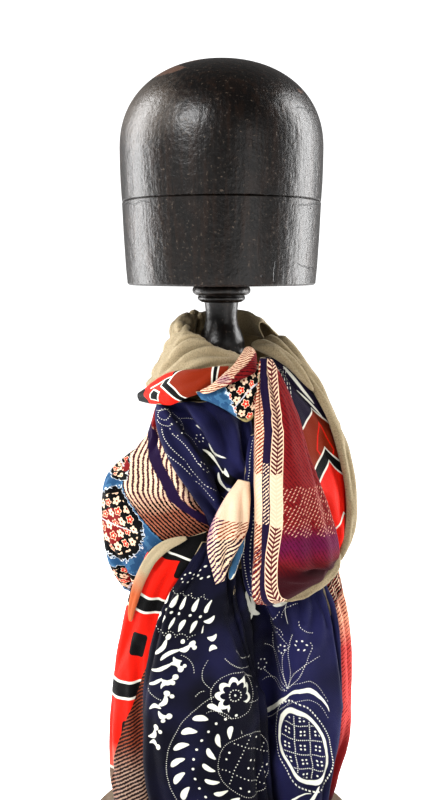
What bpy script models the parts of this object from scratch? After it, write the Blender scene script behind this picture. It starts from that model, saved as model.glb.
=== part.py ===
"""A long printed scarf wound and knotted round the neck of a hat block stand.

Each stretch of the scarf that shows is a cloth wall through the sections of one short table.
Lengths in the tables are millimetres. The stand faces -Y, and its foot rests on z = 0.
"""
from math import cos, exp, pi, radians, sin

import bmesh
import bpy
from mathutils import Vector
from mathutils.bvhtree import BVHTree

MM = 0.001
CLOTH_THICKNESS = 2.0
# A stretch that lies on others keeps its middle surface this far in front of them
LAYER_CLEARANCE = 2.4
# A point deeper than this behind the others is left where it is
LAYER_DEPTH = 24.0
FRONT = 300.0
STEP = 0.01
# A stretch is shifted, by no more than the reach, until it lies this far from what carries it
SEAT_GAP = 0.35
SEAT_REACH = 6.0
SEAT_STEP = 0.2
BACK = (0, 1, 0)

# Width over depth of the hat block, and the round sides of the turned pieces
BLOCK_DEPTH_RATIO = 1.17
BLOCK_SIDES = 48
FOOT_SIDES = 60
STEM_SIDES = 24

# The dome above the block's wall is a superellipse
DOME_BASE = 627.0
DOME_HEIGHT = 72.0
DOME_HALF_WIDTH = 85.3
DOME_POWER = 2.2
DOME_RINGS = 10

# Turned outlines from the bottom up: radius or half width, and height
FOOT_PROFILE = [(123.5, 0.0), (125.0, 1.5), (125.0, 19.0), (122.5, 22.0)]
STEM_PROFILE = [
    (38.0, 22.3), (38.0, 28.0), (30.0, 34.0), (21.0, 46.0), (19.0, 56.0), (24.0, 62.0), (24.0, 68.0),
    (18.0, 74.0), (17.0, 120.0), (14.5, 300.0), (14.0, 400.0), (14.5, 428.0), (17.0, 444.0), (19.6, 456.0),
    (19.9, 464.0), (19.2, 469.0), (16.6, 476.0), (14.3, 482.0), (13.5, 488.0), (13.8, 494.0), (14.6, 500.0),
]
COLLAR_PROFILE = [
    (16.8, 500.3), (19.8, 502.2), (20.4, 504.0), (19.8, 505.8), (21.6, 506.2), (24.2, 508.0), (24.9, 510.4),
    (24.2, 512.8), (22.0, 514.7),
]
BAND_PROFILE = [(78.6, 515.0), (80.0, 516.5), (81.2, 530.0), (82.8, 558.0), (83.9, 583.85)]
CROWN_WALL = [(83.9, 584.15), (84.8, 600.0), (85.2, 614.0)]

WOOD = (0.035, 0.026, 0.022)
FOOT_WOOD = (0.22, 0.18, 0.15)
TAUPE = (0.40, 0.35, 0.26)
NAVY = (0.02, 0.02, 0.09)
TWILL = (0.55, 0.35, 0.27)
CHERRY = (0.70, 0.05, 0.03)
WINE = (0.28, 0.03, 0.04)
BLUE = (0.06, 0.19, 0.40)

# Sections of a stretch, from one end of the cloth to the other: the places of its two edges
# (a is the left, upper or inner edge) and how far the cloth swells out between them
SECTION_COLUMNS = ("ax", "ay", "az", "bx", "by", "bz", "swell")
# Folds: from and to, as shares across and along the stretch, then half width and height
FOLD_COLUMNS = ("u0", "v0", "u1", "v1", "half_width", "height")


def stretch(colour, cells, sections, curl=(0, 0), tuck=1.0, lies_on=(), seat=None, folds=()):
    """Describe one stretch of cloth.

    cells counts its cells across and along, curl is how far each edge turns under in degrees, tuck
    deepens that turn, and lies_on names the stretches beneath it. seat names what carries it and
    the way it is shifted to get there, and is lies_on, from the front, if it isn't given.
    """
    return dict(colour=colour, cells=cells, sections=sections, curl=curl, tuck=tuck,
                lies_on=lies_on, seat=seat or (lies_on, BACK), folds=folds)


# The stretches from the innermost layer out
STRETCHES = {
    "neck_wrap": stretch(
        TAUPE, (9, 23), [
            (18, -11, 457, 22, -19, 444, 2),
            (17, -24, 456, 18, -43, 442, 3),
            (8, -31, 459, 5, -55, 441, 5),
            (-8, -31, 464, -17, -54, 437, 7),
            (-22, -24, 472, -40, -41, 430, 7),
            (-30, -12, 479, -60, -19, 426, 5),
            (-33, 6, 484, -61, 10, 428, 4),
            (-25, 23, 488, -49, 34, 432, 7),
            (-9, 31, 491, -18, 47, 436, 9),
            (10, 31, 492, 20, 49, 438, 9),
            (25, 24, 490, 46, 38, 440, 8),
            (34, 9, 482, 62, 26, 444, 7),
        ],
        curl=(70, 12), seat=(("stand_stem",), (-1, 0, 0)),
        folds=[(0.66, 0.42, 0.55, 0.10, 5, -2.5), (0.84, 0.44, 0.76, 0.14, 5, -2.5),
               (0.40, 0.48, 0.58, 0.80, 6, 3.5), (0.60, 0.46, 0.74, 0.88, 6, -4),
               (0.76, 0.52, 0.88, 0.96, 6, 3.5)]),
    "back_drape": stretch(
        TAUPE, (20, 20), [
            (44, 10, 450, -36, 14, 452, 38),
            (66, 4, 432, -46, 2, 432, 53),
            (84, 3, 408, -48, -6, 408, 55),
            (98, 3, 375, -56, -4, 380, 57),
            (104, 3, 341, -73, -1, 345, 58),
            (105, 2, 306, -79, 1, 308, 56),
            (99, 2, 277, -76, 2, 272, 47),
            (88, 0, 252, -68, -2, 246, 36),
        ],
        folds=[(0.14, 0.14, 0.52, 0.36, 12, 7), (0.86, 0.14, 0.52, 0.36, 12, 7),
               (0.10, 0.26, 0.50, 0.50, 10, -7), (0.90, 0.26, 0.54, 0.50, 10, -7),
               (0.08, 0.40, 0.54, 0.66, 12, 9), (0.92, 0.38, 0.54, 0.66, 12, 9),
               (0.12, 0.58, 0.48, 0.82, 10, -7), (0.90, 0.56, 0.56, 0.80, 10, -6),
               (0.22, 0.78, 0.40, 1.00, 12, 6), (0.80, 0.74, 0.66, 1.00, 12, 6)],
        seat=(("neck_wrap",), BACK)),
    "left_lobe": stretch(
        TWILL, (13, 15), [
            (-55, -24, 412, -46, -27, 411, 2),
            (-60, -23, 397, -42, -31, 396, 5),
            (-65, -22, 384, -33, -38, 381, 8),
            (-81, -18, 368, -25, -42, 362, 11),
            (-98, -14, 352, -17, -43, 341, 14),
            (-103, -12, 329, -10, -43, 321, 15),
            (-102, -12, 303, -8, -43, 300, 15),
            (-98, -13, 281, -14, -41, 280, 13),
            (-92, -12, 264, -36, -32, 263, 10),
            (-86, -10, 251, -52, -23, 251, 6),
        ],
        curl=(55, 0), tuck=1.5, seat=(("back_drape",), BACK),
        folds=[(0.50, 0.22, 0.75, 0.62, 9, -3), (0.30, 0.52, 0.62, 0.80, 9, -2.5)]),
    "right_fall": stretch(
        CHERRY, (8, 14), [
            (33, -18, 453, 46, -12, 451, 3),
            (35, -28, 440, 65, -5, 439, 4),
            (37, -36, 424, 81, -1, 420, 5),
            (42, -42, 403, 93, 1, 398, 6),
            (49, -44, 377, 103, 2, 371, 7),
            (58, -43, 352, 112, 4, 342, 7),
            (67, -41, 326, 114, 2, 317, 7),
            (74, -37, 304, 110, -3, 296, 6),
            (81, -32, 286, 102, -10, 280, 4),
            (86, -31, 278, 96, -18, 274, 3),
        ],
        seat=(("back_drape",), BACK),
        folds=[(0.25, 0.15, 0.60, 0.60, 8, -3)]),
    "right_rim": stretch(
        TAUPE, (4, 22), [
            (31, 8, 459, 39, 16, 457, 4),
            (38, 2, 464, 48, 11, 463, 6),
            (47, -3, 461, 55, 8, 466, 6),
            (60, -6, 450, 69, 6, 448, 6),
            (73, -7, 434, 83, 6, 430, 5),
            (83, -8, 418, 92, 4, 410, 5),
            (93, -8, 398, 102, 4, 390, 5),
            (101, -7, 373, 110, 4, 369, 5),
            (108, -5, 345, 116, 6, 342, 5),
            (110, -6, 318, 118, 5, 317, 5),
            (107, -10, 294, 114, 1, 293, 4),
            (100, -17, 277, 106, -9, 276, 3),
        ],
        curl=(10, 15), lies_on=("right_fall",), seat=(("right_fall", "neck_wrap"), BACK)),
    "right_roll": stretch(
        TAUPE, (4, 12), [
            (27, -4, 458, 28, 2, 468, 3),
            (32, -10, 458, 35, -5, 468, 4),
            (42, -17, 455, 45, -11, 464, 5),
            (57, -18, 445, 59, -13, 453, 5),
            (69, -16, 432, 71, -12, 440, 4),
            (77, -14, 422, 79, -11, 429, 2),
        ],
        curl=(10, 20), lies_on=("right_fall", "right_rim")),
    "navy_swag": stretch(
        NAVY, (12, 13), [
            (-51, -33, 417, 18, -46, 419, 7),
            (-51, -37, 408, 24, -50, 402, 9),
            (-45, -44, 390, 25, -50, 381, 10),
            (-34, -49, 367, 25, -50, 360, 10),
            (-22, -50, 344, 24, -50, 342, 9),
            (-12, -51, 322, 22, -50, 324, 7),
            (-7, -51, 309, 20, -50, 309, 4),
        ],
        curl=(10, 0), lies_on=("left_lobe", "neck_wrap"),
        folds=[(0.30, 0.00, 0.52, 0.55, 8, -5), (0.12, 0.08, 0.20, 0.80, 8, 3),
               (0.62, 0.05, 0.62, 0.40, 7, 3), (0.66, 0.42, 0.62, 0.92, 7, -4)]),
    "wrap_cuff": stretch(
        CHERRY, (6, 14), [
            (6, -58, 450, 2, -60, 441, 2),
            (-4, -58, 450, -6, -60, 436, 4),
            (-16, -56, 448, -15, -59, 430, 5),
            (-29, -49, 446, -28, -55, 425, 6),
            (-44, -39, 442, -41, -47, 418, 6),
            (-56, -30, 435, -51, -38, 417, 5),
            (-64, -22, 428, -61, -27, 417, 3),
            (-71, -15, 423, -70, -16, 418, 1),
        ],
        lies_on=("neck_wrap", "navy_swag")),
    "inner_fold": stretch(
        NAVY, (3, 12), [
            (20, -54, 392, 32, -58, 396, 3),
            (19, -54, 360, 34, -60, 362, 3),
            (18, -54, 330, 35, -60, 330, 3),
            (16, -54, 290, 35, -59, 290, 3),
            (18, -54, 258, 34, -59, 257, 3),
        ],
        lies_on=("navy_swag",)),
    "floral_band": stretch(
        BLUE, (6, 10), [
            (29, -50, 453, 33, -54, 446, 2),
            (25, -56, 448, 32, -60, 430, 5),
            (18, -60, 443, 28, -62, 414, 6),
            (8, -61, 438, 20, -63, 406, 6),
            (-3, -62, 434, 8, -62, 413, 5),
            (-13, -61, 431, -5, -60, 420, 3),
            (-20, -60, 430, -16, -59, 424, 1),
        ],
        lies_on=("navy_swag", "neck_wrap", "wrap_cuff")),
    "collar_roll": stretch(
        TWILL, (6, 12), [
            (19, -36, 461, 26, -36, 462, 4),
            (17, -44, 457, 28, -44, 458, 6),
            (13, -53, 453, 28, -54, 452, 7),
            (6, -61, 446, 26, -62, 446, 7),
            (-1, -65, 441, 14, -67, 441, 6),
            (-10, -66, 435, 0, -68, 435, 4),
            (-19, -64, 431, -12, -66, 429, 2),
        ],
        lies_on=("neck_wrap", "wrap_cuff", "floral_band")),
    "left_tail_edge": stretch(
        CHERRY, (7, 18), [
            (-35, -56, 307, -13, -57, 313, 2),
            (-52, -52, 301, -14, -57, 299, 4),
            (-62, -47, 291, -22, -55, 284, 5),
            (-70, -42, 273, -33, -51, 266, 5),
            (-77, -36, 254, -40, -47, 248, 6),
            (-82, -32, 232, -46, -45, 225, 8),
            (-88, -28, 204, -52, -44, 198, 8),
            (-93, -28, 172, -56, -44, 171, 8),
            (-97, -28, 140, -58, -44, 140, 8),
            (-98, -28, 110, -57, -44, 110, 8),
            (-97, -28, 83, -54, -44, 83, 8),
            (-94, -28, 58, -50, -44, 58, 8),
            (-91, -28, 38, -47, -44, 38, 8),
        ],
        curl=(55, 0), tuck=2.5, lies_on=("left_lobe",),
        folds=[(0.62, 0.30, 0.70, 0.98, 7, -3)]),
    "edge_roll": stretch(
        TAUPE, (4, 12), [
            (-31, -57, 312, -27, -60, 305, 2),
            (-46, -54, 306, -41, -59, 299, 3),
            (-59, -51, 295, -54, -56, 288, 3),
            (-68, -47, 280, -61, -52, 276, 3),
            (-75, -43, 262, -67, -48, 261, 3),
            (-79, -40, 244, -72, -45, 244, 2),
            (-81, -39, 231, -74, -43, 232, 1),
        ],
        lies_on=("left_tail_edge", "left_lobe")),
    "right_tail_back": stretch(
        TWILL, (6, 14), [
            (80, -30, 270, 99, -20, 273, 4),
            (88, -30, 243, 107, -18, 240, 6),
            (92, -30, 196, 112, -18, 194, 7),
            (92, -30, 150, 113, -18, 148, 7),
            (90, -30, 118, 112, -18, 116, 7),
            (84, -30, 89, 106, -20, 87, 6),
            (78, -30, 62, 99, -20, 60, 6),
            (72, -30, 38, 92, -22, 38, 5),
        ],
        curl=(0, 55), tuck=3.0, seat=(("right_fall", "back_drape"), (0, 0, 1))),
    "right_tail": stretch(
        NAVY, (12, 14), [
            (9, -35, 276, 84, -44, 277, 4),
            (9, -32, 250, 88, -44, 260, 8),
            (10, -28, 230, 95, -40, 241, 12),
            (13, -24, 206, 101, -37, 208, 15),
            (15, -20, 169, 104, -36, 167, 17),
            (18, -18, 128, 103, -36, 125, 17),
            (21, -18, 92, 96, -38, 89, 16),
            (25, -18, 62, 92, -40, 61, 14),
            (28, -18, 38, 88, -40, 38, 13),
        ],
        curl=(0, 20), lies_on=("right_tail_back",),
        folds=[(0.34, 0.10, 0.40, 0.95, 8, -4), (0.60, 0.06, 0.55, 0.55, 8, 3),
               (0.76, 0.05, 0.82, 0.45, 7, -3)]),
    "left_tail": stretch(
        NAVY, (14, 16), [
            (-16, -56, 305, 8, -58, 301, 4),
            (-26, -58, 287, 12, -59, 283, 7),
            (-42, -58, 262, 15, -59, 257, 12),
            (-53, -57, 236, 20, -56, 233, 17),
            (-60, -56, 207, 26, -52, 207, 20),
            (-65, -56, 175, 32, -48, 175, 22),
            (-66, -56, 137, 36, -46, 137, 22),
            (-65, -56, 99, 40, -46, 99, 20),
            (-61, -56, 68, 44, -46, 67, 18),
            (-58, -56, 38, 47, -46, 38, 17),
        ],
        curl=(0, 25), lies_on=("left_tail_edge",),
        folds=[(0.70, 0.18, 0.84, 0.58, 7, -7), (0.54, 0.10, 0.66, 0.70, 8, 4),
               (0.20, 0.30, 0.12, 0.95, 9, 2.5), (0.38, 0.40, 0.44, 0.95, 9, -2.5)]),
    "knot_return": stretch(
        BLUE, (3, 8), [
            (15, -63, 312, 20, -62, 312, 2),
            (13, -64, 301, 18, -63, 300, 2),
            (9, -65, 290, 14, -64, 289, 2),
            (6, -65, 282, 11, -64, 281, 1),
            (5, -64, 276, 10, -63, 276, 1),
        ],
        lies_on=("left_tail", "navy_swag", "inner_fold")),
    "knot_band": stretch(
        TWILL, (9, 14), [
            (14, -64, 358, 23, -64, 356, 2),
            (6, -67, 348, 23, -65, 344, 5),
            (-2, -69, 335, 22, -66, 330, 9),
            (-8, -70, 322, 20, -66, 319, 12),
            (-11, -71, 310, 17, -67, 310, 12),
            (-11, -71, 300, 13, -69, 302, 9),
            (-9, -71, 290, 8, -71, 293, 6),
            (-7, -70, 281, 4, -71, 284, 4),
            (-5, -69, 273, 2, -70, 276, 2),
        ],
        lies_on=("navy_swag", "inner_fold", "left_tail", "knot_return")),
    "front_lobe": stretch(
        WINE, (12, 18), [
            (31, -60, 457, 41, -56, 455, 2),
            (30, -64, 442, 47, -59, 444, 4),
            (29, -67, 426, 55, -60, 426, 9),
            (28, -69, 408, 63, -58, 405, 13),
            (28, -70, 384, 70, -56, 381, 16),
            (28, -71, 355, 80, -54, 351, 19),
            (29, -71, 326, 91, -52, 321, 21),
            (28, -71, 299, 97, -52, 296, 21),
            (26, -69, 274, 95, -52, 288, 18),
            (27, -66, 258, 91, -52, 283, 13),
            (31, -60, 254, 86, -48, 281, 7),
        ],
        curl=(20, 40), tuck=1.7,
        lies_on=("floral_band", "inner_fold", "right_fall", "right_roll", "navy_swag"),
        folds=[(0.62, 0.35, 0.70, 0.90, 9, -3), (0.15, 0.70, 0.60, 0.97, 8, -2)]),
    "front_hem": stretch(
        TAUPE, (4, 10), [
            (97, -42, 291, 102, -40, 288, 2),
            (93, -45, 280, 98, -42, 275, 3),
            (82, -48, 271, 87, -45, 264, 4),
            (66, -50, 263, 70, -47, 255, 4),
            (50, -52, 256, 53, -48, 250, 3),
        ],
        lies_on=("right_tail",)),
}


def clear_scene():
    """Remove what the file opens with."""
    for thing in list(bpy.data.objects):
        bpy.data.objects.remove(thing, do_unlink=True)


def material(name, colour, roughness):
    """Make one part's own Principled material."""
    finish = bpy.data.materials.new(name + "_finish")
    finish.use_nodes = True
    shader = finish.node_tree.nodes["Principled BSDF"]
    shader.inputs["Base Color"].default_value = (*colour, 1.0)
    shader.inputs["Roughness"].default_value = roughness
    shader.inputs["Metallic"].default_value = 0.0
    return finish


def make_object(name, points, faces, colour, roughness):
    """Turn points in millimetres and faces into a named object whose faces point out."""
    mesh = bpy.data.meshes.new(name)
    mesh.from_pydata([Vector(point) * MM for point in points], [], faces)
    work = bmesh.new()
    work.from_mesh(mesh)
    bmesh.ops.recalc_face_normals(work, faces=work.faces)
    if work.calc_volume(signed=True) < 0:
        bmesh.ops.reverse_faces(work, faces=work.faces)
    work.to_mesh(mesh)
    work.free()
    mesh.shade_smooth()
    mesh.set_sharp_from_angle(angle=radians(40))
    mesh.materials.append(material(name, colour, roughness))
    bpy.context.collection.objects.link(bpy.data.objects.new(name, mesh))


def turned(profile, sides, depth_ratio=1.0):
    """Turn an outline of radius and height into the points and faces of a round or oval solid."""
    points = []
    faces = []
    for radius, height in profile:
        for side in range(sides):
            angle = 2 * pi * side / sides
            points.append((radius * cos(angle), radius * depth_ratio * sin(angle), height))
    for ring in range(len(profile) - 1):
        for side in range(sides):
            low = ring * sides
            after = (side + 1) % sides
            faces.append((low + side, low + after, low + sides + after, low + sides + side))
    top = (len(profile) - 1) * sides
    faces.append(tuple(range(sides)))
    faces.append(tuple(range(top, top + sides)))
    return points, faces


def crown_profile():
    """Follow the block's wall above the joint, then the superellipse of its dome."""
    outline = list(CROWN_WALL)
    for ring in range(DOME_RINGS + 1):
        angle = 0.5 * pi * min(ring / DOME_RINGS, 0.965)
        half_width = DOME_HALF_WIDTH * cos(angle) ** (2 / DOME_POWER)
        rise = DOME_HEIGHT * sin(angle) ** (2 / DOME_POWER)
        outline.append((half_width, DOME_BASE + rise))
    return outline


def row_at(rows, share):
    """Read a table of sections at a share of its length, on a smooth curve through the rows."""
    place = share * (len(rows) - 1)
    first = min(int(place), len(rows) - 2)
    t = place - first
    before = rows[max(first - 1, 0)]
    here = rows[first]
    after = rows[first + 1]
    beyond = rows[min(first + 2, len(rows) - 1)]
    values = []
    for p0, p1, p2, p3 in zip(before, here, after, beyond):
        bend = 2 * p0 - 5 * p1 + 4 * p2 - p3
        twist = 3 * p1 - p0 - 3 * p2 + p3
        values.append(0.5 * (2 * p1 + (p2 - p0) * t + bend * t * t + twist * t * t * t))
    return dict(zip(SECTION_COLUMNS, values))


def edges_at(rows, share):
    """Give the two edge points and the swell of the section at a share of the length."""
    row = row_at(rows, share)
    edge_a = Vector((row["ax"], row["ay"], row["az"]))
    edge_b = Vector((row["bx"], row["by"], row["bz"]))
    return edge_a, edge_b, row["swell"]


def base_point(spec, u, v):
    """Place a point on a stretch before its folds, u across and v along."""
    rows = spec["sections"]
    edge_a, edge_b, swell = edges_at(rows, v)
    back_a, back_b, _ = edges_at(rows, max(v - STEP, 0.0))
    next_a, next_b, _ = edges_at(rows, min(v + STEP, 1.0))
    chord = edge_b - edge_a
    along = (next_a + next_b) - (back_a + back_b)
    out = along.cross(chord).normalized()
    curl_share = min(1.0, swell / 8.0)
    curl_a, curl_b = [curl * curl_share for curl in spec["curl"]]
    turn = radians(-curl_a + u * (180 + curl_a + curl_b))
    rise = swell * sin(turn) * (1.0 if sin(turn) >= 0 else spec["tuck"])
    return edge_a + chord * (1 - cos(turn)) / 2 + out * rise


def fold_height(spec, size, u, v):
    """Add up the ridges and troughs at one place."""
    width, length = size
    here = Vector((u * width, v * length))
    height = 0.0
    for values in spec["folds"]:
        fold = dict(zip(FOLD_COLUMNS, values))
        start = Vector((fold["u0"] * width, fold["v0"] * length))
        run = Vector((fold["u1"] * width, fold["v1"] * length)) - start
        t = min(max((here - start).dot(run) / run.length_squared, 0.0), 1.0)
        away = (here - start - run * t).length / fold["half_width"]
        height += fold["height"] * exp(-away * away) * (0.3 + 0.7 * sin(pi * t))
    return height


def normals_of(grid):
    """Find the outward direction at each point of a grid from its neighbours."""
    rows = len(grid)
    columns = len(grid[0])
    outward = []
    for j in range(rows):
        line = []
        for i in range(columns):
            across = grid[j][min(i + 1, columns - 1)] - grid[j][max(i - 1, 0)]
            along = grid[min(j + 1, rows - 1)][i] - grid[max(j - 1, 0)][i]
            line.append(along.cross(across).normalized())
        outward.append(line)
    return outward


def grid_size(grid):
    """Measure a grid's mean width and length."""
    width = sum((a - b).length for line in grid for a, b in zip(line, line[1:])) / len(grid)
    length = sum((a - b).length for low, high in zip(grid, grid[1:]) for a, b in zip(low, high))
    return width, length / len(grid[0])


def laid_over(grid, below):
    """Bring a grid forward, clear of the stretches it lies on, with soft shoulders."""
    rows = len(grid)
    columns = len(grid[0])
    forward = [[0.0] * columns for _ in range(rows)]
    for j in range(rows):
        for i in range(columns):
            point = grid[j][i]
            hit = below.ray_cast(Vector((point.x, -FRONT, point.z)), Vector((0, 1, 0)))[0]
            if hit is not None and point.y < hit.y + LAYER_DEPTH:
                forward[j][i] = max(0.0, point.y - hit.y + LAYER_CLEARANCE)
    for _ in range(3):
        spread = [line[:] for line in forward]
        for j in range(rows):
            for i in range(columns):
                near = [forward[max(j - 1, 0)][i], forward[min(j + 1, rows - 1)][i],
                        forward[j][max(i - 1, 0)], forward[j][min(i + 1, columns - 1)]]
                spread[j][i] = max(forward[j][i], sum(near) / 4)
        forward = spread
    return [[grid[j][i] - Vector((0, forward[j][i], 0)) for i in range(columns)] for j in range(rows)]


def cloth_grid(spec, below):
    """Work out the middle surface of a stretch as a grid of points."""
    across, along = spec["cells"]
    shares = [(i / across, j / along) for j in range(along + 1) for i in range(across + 1)]
    flat = [base_point(spec, u, v) for u, v in shares]
    grid = [flat[j * (across + 1):(j + 1) * (across + 1)] for j in range(along + 1)]
    size = grid_size(grid)
    outward = normals_of(grid)
    for j in range(along + 1):
        for i in range(across + 1):
            grid[j][i] = grid[j][i] + outward[j][i] * fold_height(spec, size, i / across, j / along)
    return laid_over(grid, below) if below else grid


def cloth_wall(grid, thickness=CLOTH_THICKNESS):
    """Close a grid into a wall of the cloth's thickness."""
    outward = normals_of(grid)
    rows = len(grid)
    columns = len(grid[0])
    half = thickness / 2
    points = [grid[j][i] + outward[j][i] * half for j in range(rows) for i in range(columns)]
    points += [grid[j][i] - outward[j][i] * half for j in range(rows) for i in range(columns)]
    count = rows * columns
    faces = []
    for j in range(rows - 1):
        for i in range(columns - 1):
            corner = j * columns + i
            face = (corner, corner + columns, corner + columns + 1, corner + 1)
            faces.append(face)
            faces.append(tuple(count + index for index in reversed(face)))
    border = [i for i in range(columns)]
    border += [j * columns + columns - 1 for j in range(1, rows)]
    border += [(rows - 1) * columns + i for i in range(columns - 2, -1, -1)]
    border += [j * columns for j in range(rows - 2, 0, -1)]
    for index, start in enumerate(border):
        end = border[(index + 1) % len(border)]
        faces.append((start, end, count + end, count + start))
    return points, faces


def tree_of(shapes):
    """Join shapes of points and faces into one search tree."""
    points = []
    faces = []
    for shape_points, shape_faces in shapes:
        start = len(points)
        points += shape_points
        faces += [tuple(start + index for index in face) for face in shape_faces]
    return BVHTree.FromPolygons(points, faces)


def seated(grid, carriers, way):
    """Shift a grid along a way until its wall lies the seat gap from what carries it."""
    def moved(shift):
        return [[point + Vector(way) * shift for point in line] for line in grid]

    def meets(shift):
        wall = tree_of([cloth_wall(moved(shift), CLOTH_THICKNESS + 2 * SEAT_GAP)])
        return bool(wall.overlap(carriers))

    shift = 0.0
    while meets(shift) and shift > -SEAT_REACH:
        shift -= SEAT_STEP
    while not meets(shift + SEAT_STEP) and shift < SEAT_REACH:
        shift += SEAT_STEP
    return moved(shift)


def build_stand():
    """Build the turned stand and the hat block, and return their shapes."""
    shapes = {
        "stand_foot": turned(FOOT_PROFILE, FOOT_SIDES),
        "stand_stem": turned(STEM_PROFILE, STEM_SIDES),
        "stand_collar": turned(COLLAR_PROFILE, STEM_SIDES),
        "block_band": turned(BAND_PROFILE, BLOCK_SIDES, BLOCK_DEPTH_RATIO),
        "block_crown": turned(crown_profile(), BLOCK_SIDES, BLOCK_DEPTH_RATIO),
    }
    for name, (points, faces) in shapes.items():
        colour, roughness = (FOOT_WOOD, 0.7) if name == "stand_foot" else (WOOD, 0.4)
        make_object(name, points, faces, colour, roughness)
    return shapes


def build_scarf(shapes):
    """Build each stretch of the scarf over the ones it lies on, against what carries it."""
    for name, spec in STRETCHES.items():
        below = tree_of([shapes[lower] for lower in spec["lies_on"]]) if spec["lies_on"] else None
        carriers, way = spec["seat"]
        grid = seated(cloth_grid(spec, below), tree_of([shapes[carrier] for carrier in carriers]), way)
        shapes[name] = cloth_wall(grid)
        make_object(name, *shapes[name], spec["colour"], 0.9)


clear_scene()
build_scarf(build_stand())
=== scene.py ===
"""A long printed scarf wound and knotted round the neck of a hat block stand, as a studio picture.

Each stretch of cloth comes from the same sections as its solid and is set where the frame has it.
It is then refined, creased, given a rolled hem, and printed by its material's nodes.
Lengths are millimetres until a mesh is made. The stand faces -Y, and its foot rests on z = 0.
"""
from math import atan, atan2, ceil, cos, degrees, hypot, pi, radians, sin

import bpy
import numpy as np
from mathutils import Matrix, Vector
from mathutils.bvhtree import BVHTree


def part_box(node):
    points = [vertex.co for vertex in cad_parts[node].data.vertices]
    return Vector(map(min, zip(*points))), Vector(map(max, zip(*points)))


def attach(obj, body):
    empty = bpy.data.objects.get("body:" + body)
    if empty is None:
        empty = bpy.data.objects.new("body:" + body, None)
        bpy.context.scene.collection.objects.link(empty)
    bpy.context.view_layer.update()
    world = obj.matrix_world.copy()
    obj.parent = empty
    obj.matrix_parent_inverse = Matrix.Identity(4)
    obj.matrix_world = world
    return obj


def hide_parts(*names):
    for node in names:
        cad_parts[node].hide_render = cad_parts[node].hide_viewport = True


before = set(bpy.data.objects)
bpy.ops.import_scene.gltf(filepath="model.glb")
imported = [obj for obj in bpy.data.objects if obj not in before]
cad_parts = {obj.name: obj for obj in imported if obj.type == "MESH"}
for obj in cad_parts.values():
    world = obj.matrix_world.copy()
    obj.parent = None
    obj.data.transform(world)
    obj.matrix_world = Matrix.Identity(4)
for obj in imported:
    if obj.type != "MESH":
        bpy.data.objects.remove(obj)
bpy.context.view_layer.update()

MM = 0.001
# The cloth as it really is: its thickness, and the roll of its hem
SHEET_THICKNESS = 1.2
HEM_ROLL = 0.75
HEM_WIDTH = 2.2
# The fine surface's cells, and how far a layer keeps from the one beneath
CELL = 1.35
FINE_CLEARANCE = 1.5
# The solids' own wall and layer clearance, which place the sections
CLOTH_THICKNESS = 2.0
LAYER_CLEARANCE = 2.4
LAYER_DEPTH = 24.0
FRONT = 300.0
STEP = 0.01
BACK = (0, 1, 0)
# A section's edges turn under in full from this swell up
FULL_SWELL = 8.0

# How a crease bows, the lips beside it in half widths, and its height at its ends
BOW_STEPS = 10
CREASE_GAIN = 1.7
LIP = 0.42
LIP_PLACE = 2.1
END_HEIGHT = 0.3
# How much soft cloth ripples and at which wavelengths, and how wide its shoulders over an edge are
RIPPLE = 0.35
RIPPLES = (52.0, 41.0, 33.0, 27.0, 21.0, 17.0)
SHOULDERS = 12
SOLID_SHOULDERS = 3
# How narrow a roll gets at its rounded ends
END_SHARE = 0.97

# The turned stand and the oval block, as radius or half width and height, and the block's dome
TURNED_SIDES = 128
SHARP_ANGLE = 32
BLOCK_DEPTH_RATIO = 1.17
DOME_BASE = 627.0
DOME_HEIGHT = 72.0
DOME_HALF_WIDTH = 85.3
DOME_POWER = 2.2
DOME_RINGS = 40
DOME_SHARE = 0.995
FOOT_PROFILE = [(123.5, 0.0), (125.0, 1.5), (125.0, 19.0), (124.2, 21.2), (122.5, 22.0)]
STEM_BASE = [(38.0, 22.3)]
STEM_PROFILE = [
    (38.0, 28.0), (30.0, 34.0), (21.0, 46.0), (19.0, 56.0), (24.0, 62.0), (24.0, 68.0), (18.0, 74.0),
    (17.0, 120.0), (14.5, 300.0), (14.0, 400.0), (14.5, 428.0), (17.0, 444.0), (19.6, 456.0), (19.9, 464.0),
    (19.2, 469.0), (16.6, 476.0), (14.3, 482.0), (13.5, 488.0), (13.8, 494.0), (14.6, 500.0),
]
COLLAR_PROFILE = [
    (16.8, 500.3), (19.8, 502.2), (20.4, 504.0), (19.8, 505.8), (21.6, 506.2), (24.2, 508.0), (24.9, 510.4),
    (24.2, 512.8), (22.0, 514.7),
]
CROWN_WALL = [(83.2, 584.15), (83.9, 584.9), (84.8, 600.0), (85.2, 614.0)]
BAND_PROFILE = [(78.6, 515.0), (80.0, 516.5), (81.2, 530.0), (82.8, 558.0), (83.85, 583.0), (83.2, 583.85)]

# A stretch wider than this has its size worked out in metres
NARROWEST = 10.5

# The cloth's uneven tone and speckle, its weave's relief and its sheen
TONE_SCALE = 0.05
TONE_SPREAD = 0.22
SPECKLE_SCALE = 0.9
SPECKLE_SPREAD = 0.34
ROW_RELIEF = 0.6
END_RELIEF = 0.25
END_PITCH_SHARE = 0.31
FUZZ_SCALE = 2.0
FUZZ_RELIEF = 0.8
WEAVE_STRENGTH = 0.5
WEAVE_DEPTH = 0.0003
SHEEN_ROUGHNESS = 0.45
CLOTH_SPECULAR = 0.12
# How much of a woven line's direction is across and along
TWILL_WAY = (0.6, 0.8)
STEEP_WAY = (0.62, 0.78)
EVEN_WAY = (0.7, 0.7)
# The strips at the inner edge of the front loop, from and to, and the repeat of the left tail's edge
TWILL_STRIP = (2.5, 17.0)
NAVY_STRIP = (17.0, 23.5)
BRAID_STRIP = (23.5, 34.0)
EDGE_REPEAT = 82.0

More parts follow.
